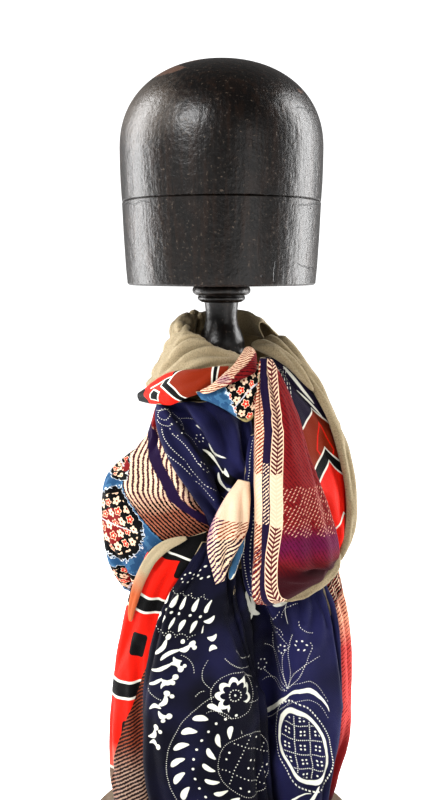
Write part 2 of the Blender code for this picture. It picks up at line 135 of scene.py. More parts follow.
# The wood's upright grain, the specks in its wax, its relief and its gloss
GRAIN_SCALE = (0.26, 0.26, 0.022)
SPECK_ROUGHNESS = 0.18
WOOD_STRENGTH = 0.7
WOOD_DEPTH = 0.0007
WOOD_SPECULAR = 0.36

# The pale floor, the light of the room and the sky behind, and the soft lights, in metres and watts
FLOOR_REACH = 6.0
FLOOR_COLOUR = (0.92, 0.92, 0.92, 1)
FLOOR_ROUGHNESS = 0.9
FLOOR_GLOW = 0.80
ROOM_LIGHT = 0.20
SKY_LIGHT = 1.1
WHITE_LIGHT = (1, 1, 1, 1)
LIGHTS_AIM = (0, 0, 0.4)
LIGHTS = [
    ("left_box", (-1.15, 0.42, 0.62), (0.55, 1.8), 34), ("right_box", (1.15, 0.42, 0.62), (0.55, 1.8), 34),
    ("key", (-0.95, -1.05, 1.35), (0.6, 0.6), 30), ("fill", (0.9, -1.3, 0.55), (0.7, 1.2), 5),
]

# The camera, in metres: a 45 mm lens on a 36 mm frame, a little above the cloth and tilted down
LENS = 45.0
SENSOR = 36.0
CAMERA_PLACE = (-0.0017, -0.862, 0.530)
CAMERA_TILT = atan(0.133)


def unit(vectors):
    """Give vectors the length 1, and leave those of no length as they are."""
    length = np.linalg.norm(vectors, axis=-1, keepdims=True)
    return vectors / np.where(length > 0, length, 1.0)


def smooth_read(lines, shares):
    """Read lines of numbers at shares of their length, on a smooth curve through them."""
    place = np.asarray(shares, float) * (len(lines) - 1)
    first = np.clip(place.astype(int), 0, len(lines) - 2)
    t = (place - first).reshape((-1,) + (1,) * (lines.ndim - 1))
    before, here, after, beyond = (lines[np.clip(first + step, 0, len(lines) - 1)] for step in (-1, 0, 1, 2))
    bend = 2 * before - 5 * here + 4 * after - beyond
    twist = 3 * here - before - 3 * after + beyond
    return 0.5 * (2 * here + (after - before) * t + bend * t ** 2 + twist * t ** 3)


def base_grid(spec):
    """Place the points of a stretch before its folds, across each section and along them."""
    across, along = spec["cells"]
    sections = np.array(spec["sections"], float)
    shares = np.linspace(0, 1, along + 1)
    here, back, ahead = (smooth_read(sections, np.clip(shares + step, 0, 1)) for step in (0, -STEP, STEP))
    edge_a = here[:, 0:3]
    chord = here[:, 3:6] - edge_a
    swell = here[:, 6:7]
    run = ahead[:, 0:3] + ahead[:, 3:6] - back[:, 0:3] - back[:, 3:6]
    out = unit(np.cross(run, chord))
    curl_a, curl_b = [curl * np.minimum(1.0, swell / FULL_SWELL) for curl in spec["curl"]]
    turn = np.radians(np.linspace(0, 1, across + 1) * (180 + curl_a + curl_b) - curl_a)
    rise = swell * np.sin(turn) * np.where(np.sin(turn) >= 0, 1.0, spec["tuck"])
    middle = edge_a[:, None] + chord[:, None] * (1 - np.cos(turn))[..., None] / 2
    return middle + out[:, None] * rise[..., None]


def normals_of(grid):
    """Find the outward direction at each point of a grid from its neighbours."""
    return unit(np.cross(np.gradient(grid, axis=0), np.gradient(grid, axis=1)))


def grid_size(grid):
    """Measure a grid's mean width and length."""
    width = np.linalg.norm(np.diff(grid, axis=1), axis=2).sum(axis=1).mean()
    return width, np.linalg.norm(np.diff(grid, axis=0), axis=2).sum(axis=0).mean()


def shares_of(grid):
    """Give each point's share of the way across and along its grid."""
    rows, columns = grid.shape[:2]
    return np.meshgrid(np.linspace(0, 1, columns), np.linspace(0, 1, rows))


def run_height(place, path, half_width, height, lips=False):
    """Raise a ridge, or sink a trough, along a path of points, highest at its middle.

    Lips turn the cloth the other way on both sides, as it does beside a pressed crease.
    """
    nearest = np.full(place.shape[:2], np.inf)
    share = np.zeros(place.shape[:2])
    for index, (start, end) in enumerate(zip(path, path[1:])):
        run = end - start
        t = np.clip(((place - start) @ run) / (run @ run), 0, 1)
        away = np.linalg.norm(place - start - t[..., None] * run, axis=2)
        closer = away < nearest
        nearest = np.where(closer, away, nearest)
        share = np.where(closer, (index + t) / (len(path) - 1), share)
    form = np.exp(-(nearest / half_width) ** 2)
    if lips:
        form = CREASE_GAIN * (form - LIP * np.exp(-(nearest / half_width - LIP_PLACE) ** 2))
    return height * form * (END_HEIGHT + (1 - END_HEIGHT) * np.sin(pi * share))


def folded(grid, folds, bow_steps=1):
    """Move a grid's points out and in by its folds or creases."""
    u, v = shares_of(grid)
    size = np.array(grid_size(grid))
    place = np.stack([u, v], axis=2) * size
    height = np.zeros(u.shape)
    for values in folds:
        start, end = np.array(values[0:2]) / 100 * size, np.array(values[2:4]) / 100 * size
        bow = values[4] if bow_steps > 1 else 0.0
        side = unit(np.array([end[1] - start[1], start[0] - end[0]]))
        steps = np.linspace(0, 1, bow_steps + 1)[:, None]
        path = start + (end - start) * steps + side * bow * np.sin(pi * steps)
        height += run_height(place, path, *values[-2:], lips=bow_steps > 1)
    return grid + normals_of(grid) * height[..., None]


def laid_over(grid, below, clearance, passes):
    """Bring a grid forward, clear of what it lies on, with soft shoulders."""
    forward = np.zeros(grid.shape[:2])
    for place in np.ndindex(forward.shape):
        x, y, z = grid[place]
        hit = below.ray_cast(Vector((x, -FRONT, z)), Vector(BACK))[0]
        if hit is not None and y < hit.y + LAYER_DEPTH:
            forward[place] = max(0.0, y - hit.y + clearance)
    for _ in range(passes):
        near = np.pad(forward, 1, mode="edge")
        mean = (near[:-2, 1:-1] + near[2:, 1:-1] + near[1:-1, :-2] + near[1:-1, 2:]) / 4
        forward = np.maximum(forward, mean)
    return grid - forward[..., None] * np.array(BACK)


def tree_of_nodes(names):
    """Join CAD nodes into one search tree in millimetres."""
    points = []
    faces = []
    for name in names:
        start = len(points)
        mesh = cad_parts[name].data
        points += [vertex.co / MM for vertex in mesh.vertices]
        faces += [[start + index for index in face.vertices] for face in mesh.polygons]
    return BVHTree.FromPolygons(points, faces)


def solid_grid(name, spec):
    """Work out the middle surface of a stretch's solid, and set it where the frame has it."""
    grid = folded(base_grid(spec), spec["folds"])
    if spec["lies_on"]:
        grid = laid_over(grid, tree_of_nodes(spec["lies_on"]), LAYER_CLEARANCE, SOLID_SHOULDERS)
    half = normals_of(grid) * CLOTH_THICKNESS / 2
    lowest = np.minimum(grid + half, grid - half).min(axis=(0, 1))
    return grid + np.array(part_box(name)[0]) / MM - lowest


def refined(grid, cell):
    """Read a smooth surface through a grid at cells of about the given size."""
    width, length = grid_size(grid)
    finer = smooth_read(grid, np.linspace(0, 1, ceil(length / cell) + 1))
    across = smooth_read(finer.swapaxes(0, 1), np.linspace(0, 1, ceil(width / cell) + 1))
    return across.swapaxes(0, 1)


def narrowed(grid, reach):
    """Round off the two ends of a roll over the given length."""
    stride = grid_size(grid)[1] / (len(grid) - 1)
    row = np.arange(len(grid))
    away = np.minimum(row, len(grid) - 1 - row) * stride
    share = np.clip(1 - away / reach, 0, END_SHARE)
    middle = grid.mean(axis=1, keepdims=True)
    return middle + (grid - middle) * np.sqrt(1 - share ** 2)[:, None, None]


def rippled(grid, height, seed):
    """Give a grid the slight unevenness of soft cloth, from a few long waves."""
    draw = np.random.default_rng(seed)
    u, v = shares_of(grid)
    width, length = grid_size(grid)
    wave = np.zeros(u.shape)
    for wavelength in RIPPLES:
        heading, phase = draw.uniform(0, 2 * pi, 2)
        place = u * width * cos(heading) + v * length * sin(heading)
        wave += wavelength / RIPPLES[0] * np.sin(2 * pi * place / wavelength + phase)
    return grid + normals_of(grid) * (wave * height / 2)[..., None]


def border_of(rows, columns):
    """List a grid's border points in order round it."""
    border = list(range(columns))
    border += [j * columns + columns - 1 for j in range(1, rows)]
    border += [(rows - 1) * columns + i for i in range(columns - 2, -1, -1)]
    border += [j * columns for j in range(rows - 2, 0, -1)]
    return np.array(border)


def half_thickness(grid, hems):
    """Give the cloth's half thickness at each point, with a roll along its hems."""
    u, v = shares_of(grid)
    width, length = grid_size(grid)
    away = {"a": u * width, "b": (1 - u) * width, "start": v * length, "end": (1 - v) * length}
    half = np.full(u.shape, SHEET_THICKNESS / 2)
    for hem in hems:
        half += HEM_ROLL * np.exp(-((away[hem] - HEM_WIDTH / 2) / (HEM_WIDTH / 2)) ** 2)
    return half


def shell(grid, hems):
    """Close a grid into a thin wall with a round rim: its points, faces and the faces' materials."""
    rows, columns = grid.shape[:2]
    half = half_thickness(grid, hems)[..., None]
    outward = normals_of(grid) * half
    rim = np.zeros_like(grid)
    rim[:, 0] += unit(grid[:, 0] - grid[:, 1])
    rim[:, -1] += unit(grid[:, -1] - grid[:, -2])
    rim[0] += unit(grid[0] - grid[1])
    rim[-1] += unit(grid[-1] - grid[-2])
    middle = (grid + unit(rim) * half).reshape(-1, 3)
    count = rows * columns
    border = border_of(rows, columns)
    outer, inner = (grid + outward).reshape(-1, 3), (grid - outward).reshape(-1, 3)
    points = np.concatenate([outer, inner, middle[border]])
    corner = (np.arange(rows - 1)[:, None] * columns + np.arange(columns - 1)).ravel()
    front = np.stack([corner, corner + columns, corner + columns + 1, corner + 1], axis=1)
    ring = 2 * count + np.arange(len(border))
    after = np.roll(border, -1)
    ring_after = np.roll(ring, -1)
    upper = np.stack([border, after, ring_after, ring], axis=1)
    lower = np.stack([ring, ring_after, count + after, count + border], axis=1)
    faces = np.concatenate([front, count + front[:, ::-1], upper, lower])
    looks = np.ones(len(faces), int)
    looks[:len(front)] = 0
    return points, faces, looks, np.concatenate([np.arange(count), np.arange(count), border])


def cloth_places(grid):
    """Measure each point's way across from edge a, along from the start, and the local width."""
    steps = np.linalg.norm(np.diff(grid, axis=1), axis=2)
    across = np.concatenate([np.zeros((len(grid), 1)), np.cumsum(steps, axis=1)], axis=1)
    strides = np.linalg.norm(np.diff(grid, axis=0), axis=2).mean(axis=1)
    along = np.concatenate([[0.0], np.cumsum(strides)])
    span = np.broadcast_to(across[:, -1:], across.shape)
    return np.stack([across, np.broadcast_to(along[:, None], across.shape), span], axis=2)


def cloth_piece(name, grid, form, materials):
    """Make a stretch's mesh, with its places on the cloth as a UV map and an attribute."""
    points, faces, looks, source = form
    mesh = bpy.data.meshes.new(name)
    mesh.from_pydata((points * MM).tolist(), [], faces.tolist())
    mesh.polygons.foreach_set("material_index", looks)
    mesh.shade_smooth()
    places = cloth_places(grid).reshape(-1, 3)[source]
    corners = np.empty(len(mesh.loops), np.int32)
    mesh.loops.foreach_get("vertex_index", corners)
    mesh.uv_layers.new(name="cloth").uv.foreach_set("vector", places[corners, :2].astype(np.float32).ravel())
    mesh.attributes.new("span", "FLOAT", "POINT").data.foreach_set("value", places[:, 2].astype(np.float32))
    for material in materials:
        mesh.materials.append(material)
    piece = bpy.data.objects.new(name + "_cloth", mesh)
    bpy.context.scene.collection.objects.link(piece)
    return piece


def shade(red, green, blue):
    """Turn a colour as seen, 0 to 255, into the shader's linear colour."""
    return tuple((value / 255) ** 2.2 for value in (red, green, blue))


TAUPE = shade(150, 137, 112)
TAUPE_DARK = shade(104, 90, 68)
CREAM = shade(220, 190, 162)
WHITE = shade(214, 213, 200)
NAVY = shade(37, 37, 72)
NAVY_DEEP = shade(12, 12, 27)
BLACK = shade(10, 10, 12)
RED = shade(206, 32, 14)
CHERRY = shade(112, 27, 29)
MAROON = shade(52, 14, 22)
RUST = shade(122, 42, 16)
COPPER = shade(132, 68, 46)
PURPLE = shade(88, 38, 92)
BLUE = shade(64, 100, 130)
BLUE_DARK = shade(40, 72, 104)
OLIVE = shade(150, 138, 96)
WOOD_DARK = shade(15, 11, 9)
WOOD_BROWN = shade(42, 29, 21)
FOOT_GREY = shade(128, 116, 104)
FOOT_BROWN = shade(92, 78, 64)


class Field:
    """A number that changes over a surface, worked out by math nodes."""

    def __init__(self, tree, source):
        self.tree = tree
        self.source = source

    def math(self, operation, *others, clamp=False):
        node = self.tree.nodes.new("ShaderNodeMath")
        node.operation = operation
        node.use_clamp = clamp
        for socket, value in zip(node.inputs, (self, *others)):
            if isinstance(value, Field):
                self.tree.links.new(value.source, socket)
            else:
                socket.default_value = value
        return Field(self.tree, node.outputs[0])

    def __add__(self, other):
        return self.math("ADD", other)

    def __sub__(self, other):
        return self.math("SUBTRACT", other)

    def __mul__(self, other):
        return self.math("MULTIPLY", other)

    def __truediv__(self, other):
        return self.math("DIVIDE", other)

    def size(self):
        return self.math("ABSOLUTE")

    def below(self, other):
        return self.math("MINIMUM", other)

    def above(self, other):
        return self.math("MAXIMUM", other)

    def ramp(self, gain, shift):
        """Scale and shift, and keep from 0 to 1."""
        return self.math("MULTIPLY_ADD", gain, shift, clamp=True)

    def repeated(self, pitch):
        """Count from the middle of each repeat."""
        return self.math("WRAP", pitch / 2, -pitch / 2)

    def less(self, edge):
        """Give the distance to the stretch below an edge, negative inside."""
        return self - edge

    def more(self, edge):
        """Give the distance to the stretch above an edge, negative inside."""
        return self * -1.0 + edge

    def near(self, middle, half):
        """Give the distance to a band round its middle, negative inside."""
        return (self - middle).size() - half

    def within(self, low, high):
        return self.near((low + high) / 2, (high - low) / 2)


class Place:
    """A point on the flat cloth, as two fields in millimetres."""

    def __init__(self, x, y):
        self.x = x
        self.y = y

    def at(self, x, y, turn=0.0):
        """Move to a motif's own middle and direction, in degrees."""
        across = self.x - x
        along = self.y - y
        if turn == 0:
            return Place(across, along)
        c, s = cos(radians(turn)), sin(radians(turn))
        return Place(across * c + along * s, along * c - across * s)

    def tiled(self, pitch, pitch_along=None):
        return Place(self.x.repeated(pitch), self.y.repeated(pitch_along or pitch))

    def radius(self):
        return (self.x * self.x + self.y * self.y).math("SQRT")

    def angle(self):
        return self.y.math("ARCTAN2", self.x)


def any_of(*shapes):
    """Join shapes: the nearest one counts."""
    joined = shapes[0]
    for shape in shapes[1:]:
        joined = joined.below(shape)
    return joined


def all_of(*shapes):
    """Keep what lies inside every shape."""
    joined = shapes[0]
    for shape in shapes[1:]:
        joined = joined.above(shape)
    return joined


def disc(place, radius):
    return place.radius() - radius


def oval(place, half_width, half_length):
    return (Place(place.x / half_width, place.y / half_length).radius() - 1.0) * half_width


def slab(place, half_width, half_length, corner):
    """Draw a rectangle with round corners."""
    x = (place.x.size() - (half_width - corner)).above(0.0)
    y = (place.y.size() - (half_length - corner)).above(0.0)
    return disc(Place(x, y), corner)


def sector(place, start, end, radius):
    """Keep the directions between two angles in degrees."""
    off = (place.angle() - radians((start + end) / 2)).repeated(2 * pi)
    return (off.size() - radians((end - start) / 2)) * radius


def around(place, radius, count, motif, start=-180, end=180):
    """Repeat a motif round a circle, or along its arc between two angles."""
    turn = place.angle().repeated(2 * pi / count) * radius
    shape = motif(Place(turn, place.radius() - radius))
    return shape if end - start >= 360 else all_of(shape, sector(place, start, end, radius))


def dot_ring(place, radius, count, dot, start=-180, end=180):
    return around(place, radius, count, lambda cell: disc(cell, dot), start, end)


def tear(place, half_width, half_length):
    """Draw a teardrop, round at the far end and pointed at the near one."""
    share = (place.y / half_length).below(1.0).above(-1.0)
    swell = (share * share * -1.0 + 1.0).math("SQRT") * (share * 0.34 + 0.84)
    return all_of(place.x.size() - swell * half_width, place.y.size() - half_length)


def tear_ring(place, radius, count, half_width, half_length, lean, start, end):
    """Set teardrops round a circle, each pointing to its middle and leaning."""
    return around(place, radius, count, lambda cell: tear(
        Place(cell.x + cell.y * lean, cell.y), half_width, half_length), start, end)


def petals(place, count, inner, depth):
    """Draw a flower's scalloped edge."""
    wave = (place.angle() * (count / 2)).math("SINE").size()
    return place.radius() - wave * depth - inner


def dot_line(place, pitch, dot, half_length):
    """Set dots along a straight line through the place."""
    return all_of(disc(Place(place.x.repeated(pitch), place.y), dot), place.x.size() - half_length)


def scallops(place, pitch, rise, dot, count):
    """Set a row of small dotted arcs side by side."""
    radius = pitch * 0.55
    arc = Place(place.x.repeated(pitch), place.y + (radius - rise))
    arcs = all_of(dot_ring(arc, radius, 16, dot), arc.y.more(radius * 0.25))
    return all_of(arcs, place.x.size() - pitch * count / 2)


def lattice(place, pitch, dot):
    """Set a net of dotted lines with four dots in each mesh."""
    cell = place.tiled(pitch)
    fine = pitch / 8
    rows = disc(Place(cell.x.repeated(fine), cell.y.size() - pitch / 2), dot * 0.7)
    columns = disc(Place(cell.x.size() - pitch / 2, cell.y.repeated(fine)), dot * 0.7)
    four = disc(Place(cell.x.size() - pitch * 0.13, cell.y.size() - pitch * 0.13), dot * 1.25)
    return any_of(rows, columns, four)


def stroke_frame(place, stroke):
    """Lay a motif along a bowed line between two points: its own place, the hump and the half length."""
    x0, y0, x1, y1, bow = stroke[:5]
    half = hypot(x1 - x0, y1 - y0) / 2
    local = place.at((x0 + x1) / 2, (y0 + y1) / 2, degrees(atan2(y1 - y0, x1 - x0)))
    share = local.x / half
    hump = (share * share * -1.0 + 1.0).above(0.0)
    return Place(local.x, local.y - hump * bow), hump, half


def brush(place, *stroke):
    """Draw a bowed stroke, pointed at both ends: x0, y0, x1, y1, bow and width."""
    local, hump, half = stroke_frame(place, stroke)
    return all_of(local.y.size() - hump.math("SQRT") * (stroke[5] / 2), local.x.size() - half)


def stitch(place, *stroke):
    """Set dots along a bowed line: x0, y0, x1, y1, bow, pitch and dot."""
    local, _, half = stroke_frame(place, stroke)
    return dot_line(local, stroke[5], stroke[6], half)


def each(maker, place, rows):
    """Join the shapes that a maker draws from each row of a table."""
    return any_of(*[maker(place, *row) for row in rows])


class Finish:
    """A material being drawn, colour over colour, on a flat place in millimetres."""

    def __init__(self, name, ground):
        self.material = bpy.data.materials.new(name)
        self.material.use_nodes = True
        self.tree = self.material.node_tree
        self.shader = self.tree.nodes["Principled BSDF"]
        made = self.tree.nodes.new("ShaderNodeRGB")
        made.outputs[0].default_value = (*ground, 1.0)
        self.colour = made.outputs[0]

    def node(self, kind, inputs=(), **settings):
        """Add a node, set it up, and fill or link its inputs."""
        made = self.tree.nodes.new(kind)
        for key, value in settings.items():
            setattr(made, key, value)
        for key, value in dict(inputs).items():
            if isinstance(value, Field):
                value = value.source
            if isinstance(value, bpy.types.NodeSocket):
                self.tree.links.new(value, made.inputs[key])
            else:
                made.inputs[key].default_value = value
        return made

    def parts(self, vector):
        """Split a place into its fields."""
        split = self.node("ShaderNodeSeparateXYZ", {"Vector": vector})
        return [Field(self.tree, socket) for socket in split.outputs]

    def noise(self, scale, detail=2.0, where=None):
        """Read a soft noise of 0 to 1; scale counts its blobs to the millimetre."""
        inputs = {"Vector": where or self.flat, "Scale": scale, "Detail": detail}
        return Field(self.tree, self.node("ShaderNodeTexNoise", inputs).outputs["Fac"])

    def rough(self, scale, reach, detail=2.0):
        """Read a noise about 0, to make an edge uneven."""
        return (self.noise(scale, detail) - 0.5) * reach

    def paint(self, colour, shape, soft=0.35, strength=1.0):
        """Lay a colour over what lies inside a shape."""
        mask = shape.ramp(-1.0 / soft, 0.5)
        self.blend(colour, mask if strength == 1 else mask * strength)

    def white(self, *shapes):
        self.paint(WHITE, any_of(*shapes))

    def blend(self, colour, mask):
        inputs = {0: mask, 6: self.colour, 7: (*colour, 1.0)}
        self.colour = self.node("ShaderNodeMix", inputs, data_type="RGBA").outputs[2]

    def raised(self, height, strength, depth):
        """Join a relief to the shader."""
        bump = self.node("ShaderNodeBump", {"Height": height, "Strength": strength, "Distance": depth})
        self.tree.links.new(bump.outputs[0], self.shader.inputs["Normal"])


class Print(Finish):
    """A cloth finish, drawn on the flat cloth: s across, t along, and far from the other edge."""

    def __init__(self, name, ground, roughness=0.85, sheen=0.03, weave=0.8):
        super().__init__(name, ground)
        self.roughness = roughness
        self.sheen = sheen
        self.weave = weave
        self.flat = self.node("ShaderNodeUVMap", uv_map="cloth").outputs[0]
        self.s, self.t = self.parts(self.flat)[:2]
        span = self.node("ShaderNodeAttribute", attribute_name="span")
        self.far = Field(self.tree, span.outputs["Fac"]) - self.s

    def place(self, wobble=0.0, scale=0.08):
        """Give the place on the cloth, drawn with a slightly unsteady hand."""
        if wobble == 0:
            return Place(self.s, self.t)
        return Place(self.s + self.rough(scale, wobble), self.t + self.rough(scale * 1.3, wobble))

    def finish(self):
        """Join the colour, a little uneven, and the weave's relief to the shader."""
        tone = self.rough(TONE_SCALE, TONE_SPREAD) + 1.0
        tone = tone * (self.rough(SPECKLE_SCALE, SPECKLE_SPREAD, 3.0) + 1.0)
        grey = self.node("ShaderNodeCombineXYZ", {0: tone, 1: tone, 2: tone})
        toned = self.node("ShaderNodeMix", {0: 1.0, 6: self.colour, 7: grey.outputs[0]},
                          data_type="RGBA", blend_type="MULTIPLY")
        self.tree.links.new(toned.outputs[2], self.shader.inputs["Base Color"])
        turn = 2 * pi / self.weave
        rows = ((self.s + self.t) * turn).math("SINE")
        ends = ((self.s - self.t) * (turn * END_PITCH_SHARE)).math("SINE")
        fuzz = self.noise(FUZZ_SCALE, 3.0)
        self.raised(rows * ROW_RELIEF + ends * END_RELIEF + fuzz * FUZZ_RELIEF, WEAVE_STRENGTH, WEAVE_DEPTH)
        self.shader.inputs["Roughness"].default_value = self.roughness
        self.shader.inputs["Sheen Weight"].default_value = self.sheen
        self.shader.inputs["Sheen Roughness"].default_value = SHEEN_ROUGHNESS
        self.shader.inputs["Specular IOR Level"].default_value = CLOTH_SPECULAR
        return self.material


def woven(draw, colour, way, pitch, width, shape=None, rough=2.2, strength=1.0):
    """Lay broken woven lines at a pitch; way gives how much across and along count."""
    line = (draw.s * way[0] + draw.t * way[1]).repeated(pitch)
    lines = line.size() - width / 2 + draw.rough(0.55, rough, 3.0)
    draw.paint(colour, lines if shape is None else all_of(lines, shape), strength=strength)


def ruled(draw, shape, bands):
    """Rule nested bands over a shape's distance, from the widest in: reach and colour."""
    for reach, colour in bands:
        draw.paint(colour, shape - reach)


def small_flowers(draw, place, pitch, shape):
    """Set small five-petalled flowers with an outline and an eye, red and cream by turns."""
    for shift, petal, eye in ((0.0, RED, CREAM), (0.5, CREAM, CHERRY)):
        cell = place.at(-shift * pitch, -shift * pitch).tiled(pitch)
        flower = all_of(petals(cell, 5, pitch * 0.14, pitch * 0.13), shape)
        ruled(draw, flower, ((0.5, CREAM), (-0.2, petal)))
        draw.paint(eye, all_of(disc(cell, pitch * 0.075), shape))


def folk_ground(draw, place, shape, red, pitch):
    """Print a ragged dark shape with small flowers round a red heart, outlined in white."""
    ragged = shape + draw.rough(0.34, 11.0)
    ruled(draw, ragged, ((0.9, shade(196, 200, 204)), (0.0, BLACK)))
    draw.paint(CHERRY, red + draw.rough(0.2, 4.0))
    small_flowers(draw, place, pitch, shape + 5.0)
    stems = (place.x * 0.35 + place.y - 2).repeated(pitch * 2.6).size() - 0.55
    draw.paint(shade(178, 178, 184), all_of(stems, shape + 4.0))


def plain_cloth():
    """Finish the scarf's unprinted taupe face, a fine felted wool."""
    draw = Print("taupe_wool", TAUPE, roughness=0.92, sheen=0.15, weave=1.1)
    draw.blend(shade(134, 119, 92), draw.noise(0.02).ramp(2.4, -0.95))
    draw.blend(TAUPE_DARK, draw.noise(0.75, 3.0).ramp(3.4, -1.6) * 0.75)
    draw.blend(shade(176, 162, 132), draw.noise(0.9).ramp(4.0, -2.3) * 0.5)
    return draw.finish()


def roll_print():
    """Finish the roll on the left tail's edge, whose wool gives way to the peach print."""
    draw = Print("taupe_roll", TAUPE, roughness=0.9, sheen=0.1, weave=1.1)
    draw.paint(shade(168, 88, 54), (draw.t + draw.noise(0.1) * 14).more(68), soft=26)
    draw.blend(TAUPE_DARK, draw.noise(0.75, 3.0).ramp(3.2, -1.75) * 0.6)
    return draw.finish()


def navy_ground(name, deep=0.5):
    """Start a navy cloth whose dye runs deeper in places."""
    draw = Print(name, NAVY, roughness=0.7, weave=0.7)
    draw.blend(NAVY_DEEP, draw.noise(0.016).ramp(2.6, deep - 1.4))
    return draw


# The handkerchief prints' strokes, in millimetres on the flat cloth. A brush stroke has two ends, x0, y0,
# x1, y1, a bow and a width, and a stitch line two ends, a bow, a pitch and a dot's radius.
SCROLLS = [
    (14, 98, 21, 84, 2, 4.2), (20, 102, 34, 92, -2, 3.6), (33, 92, 42, 86, 2, 4.6), (30, 98, 38, 101, 2, 3.6),
    (13, 112, 30, 103, 1.5, 3.4), (28, 104, 37, 108, -3, 4.6), (13, 124, 24, 117, 1, 3.2),
    (23, 118, 34, 116, 3, 4.4), (24, 126, 32, 121, -3, 3.4), (13, 146, 24, 143, -2.5, 3.6),
    (22, 141, 28, 131, 2.5, 4.4), (22, 146, 30, 150, 2.5, 4.2), (12, 171, 19, 163, 2.5, 4.6),
    (13, 176, 21, 178, -2.5, 4.4), (47, 66, 53, 60, 2.5, 4.6), (54, 80, 61, 76, 2.5, 5.0),
    (59, 91, 65, 88, -2, 4.6),
]
# Buds: x, y and radius
BUDS = [
    (21.5, 82, 2.4), (35, 84, 2.0), (43.5, 85, 2.6), (39, 90, 2.0), (46, 88, 1.8), (38, 108, 2.6),
    (35, 103, 2.0), (41, 105, 1.7), (35, 115, 2.5), (33.5, 120, 1.9), (29, 129.5, 2.6), (33, 132, 1.9),
    (31, 150, 2.5), (26.5, 154, 1.8), (20, 161, 2.6), (24, 164, 1.8), (22, 178, 2.3),
]
TAIL_STITCHES = [
    (12, 128, 24, 136, 2, 1.7, 0.4), (60, 100, 66, 126, 6, 1.9, 0.4), (52, 133, 61, 128, -2, 1.9, 0.4),
    (74, 98, 104, 112, 3, 1.8, 0.36), (82, 92, 112, 104, 4, 1.8, 0.36), (92, 118, 112, 128, -4, 1.8, 0.36),
    (100, 142, 120, 134, 4, 1.8, 0.36), (62, 148, 84, 153, -4, 1.9, 0.4), (36, 96, 50, 110, -4, 1.9, 0.36),
]
PETAL_STITCHES = [
    (67, 108, 36, 72, 6, 1.9, 0.42), (67, 108, 44, 62, -6, 1.9, 0.42), (67, 108, 58, 58, 7, 1.9, 0.42),
    (67, 108, 72, 56, -7, 1.9, 0.42), (67, 108, 86, 64, 6, 1.9, 0.42), (67, 108, 96, 78, -6, 1.9, 0.42),
    (66, 110, 34, 96, -5, 2.0, 0.42), (66, 110, 34, 108, 4, 2.0, 0.42), (40, 44, 60, 36, 5, 2.0, 0.42),
    (62, 42, 78, 30, -5, 2.0, 0.42), (80, 44, 92, 58, 4, 2.0, 0.42), (50, 52, 62, 60, -5, 2.0, 0.42),
]
STEM_STITCHES = [
    (32, 150, 74, 120, 2, 1.7, 0.36), (72, 109, 110, 120, -16, 1.7, 0.36),
    (72, 123, 108, 134, -13, 1.7, 0.36),
]
RIGHT_STROKES = [
    (16, 18, 34, 42, 4, 4.6), (20, 20, 24, 44, -3, 4.2), (52, 22, 78, 20, 9, 4.0), (73, 28, 76, 48, 0.5, 1.2),
    (26, 148, 76, 112, 2, 3.6), (70, 117, 110, 128, -16, 4.4),
]
# Rings of dots: x, y, radius, count and a dot's radius
RIGHT_RINGS = [(45, 34, 4.4, 6, 0.85), (66, 72, 4.0, 6, 0.85), (84, 66, 4.6, 6, 0.85), (40, 92, 5.0, 7, 0.75)]
SWAG_RINGS = [(16, 17, 5.5, 16, 0.45), (27, 30, 6.0, 8, 0.5), (52, 36, 3.6, 6, 0.6), (40, 62, 4.0, 7, 0.55)]
SWAG_STITCHES = [
    (8, 12, 20, 8, 3, 1.7, 0.42), (10, 22, 24, 26, 4, 1.7, 0.42), (24, 12, 34, 30, -3, 1.9, 0.42),
    (14, 30, 24, 58, 3, 1.9, 0.45), (22, 34, 36, 62, -3, 1.9, 0.42), (30, 18, 62, 30, -6, 2.0, 0.45),
    (60, 28, 76, 46, -3, 2.0, 0.45), (34, 34, 44, 44, -4, 1.8, 0.42), (24, 60, 34, 82, 3, 1.9, 0.42),
    (10, 50, 20, 70, -2, 1.9, 0.42), (18, 74, 26, 90, -2, 1.9, 0.42),
]
SWAG_BRANCHES = [
    (50, 24, 62, 42, -5, 3.2), (61, 38, 67, 52, 2.5, 4.6), (66, 50, 80, 50, -3, 4.2),
    (50, 46, 62, 66, -4, 4.0), (62, 64, 72, 60, 3, 4.4), (56, 66, 60, 82, 3, 4.4),
    (58, 80, 72, 86, -2, 4.0), (44, 88, 56, 92, 4, 3.2),
]


def dotted_circle(place, x, y, radius, count, dot):
    return dot_ring(place.at(x, y), radius, count, dot)


def bud(place, x, y, radius):
    return disc(place.at(x, y), radius)


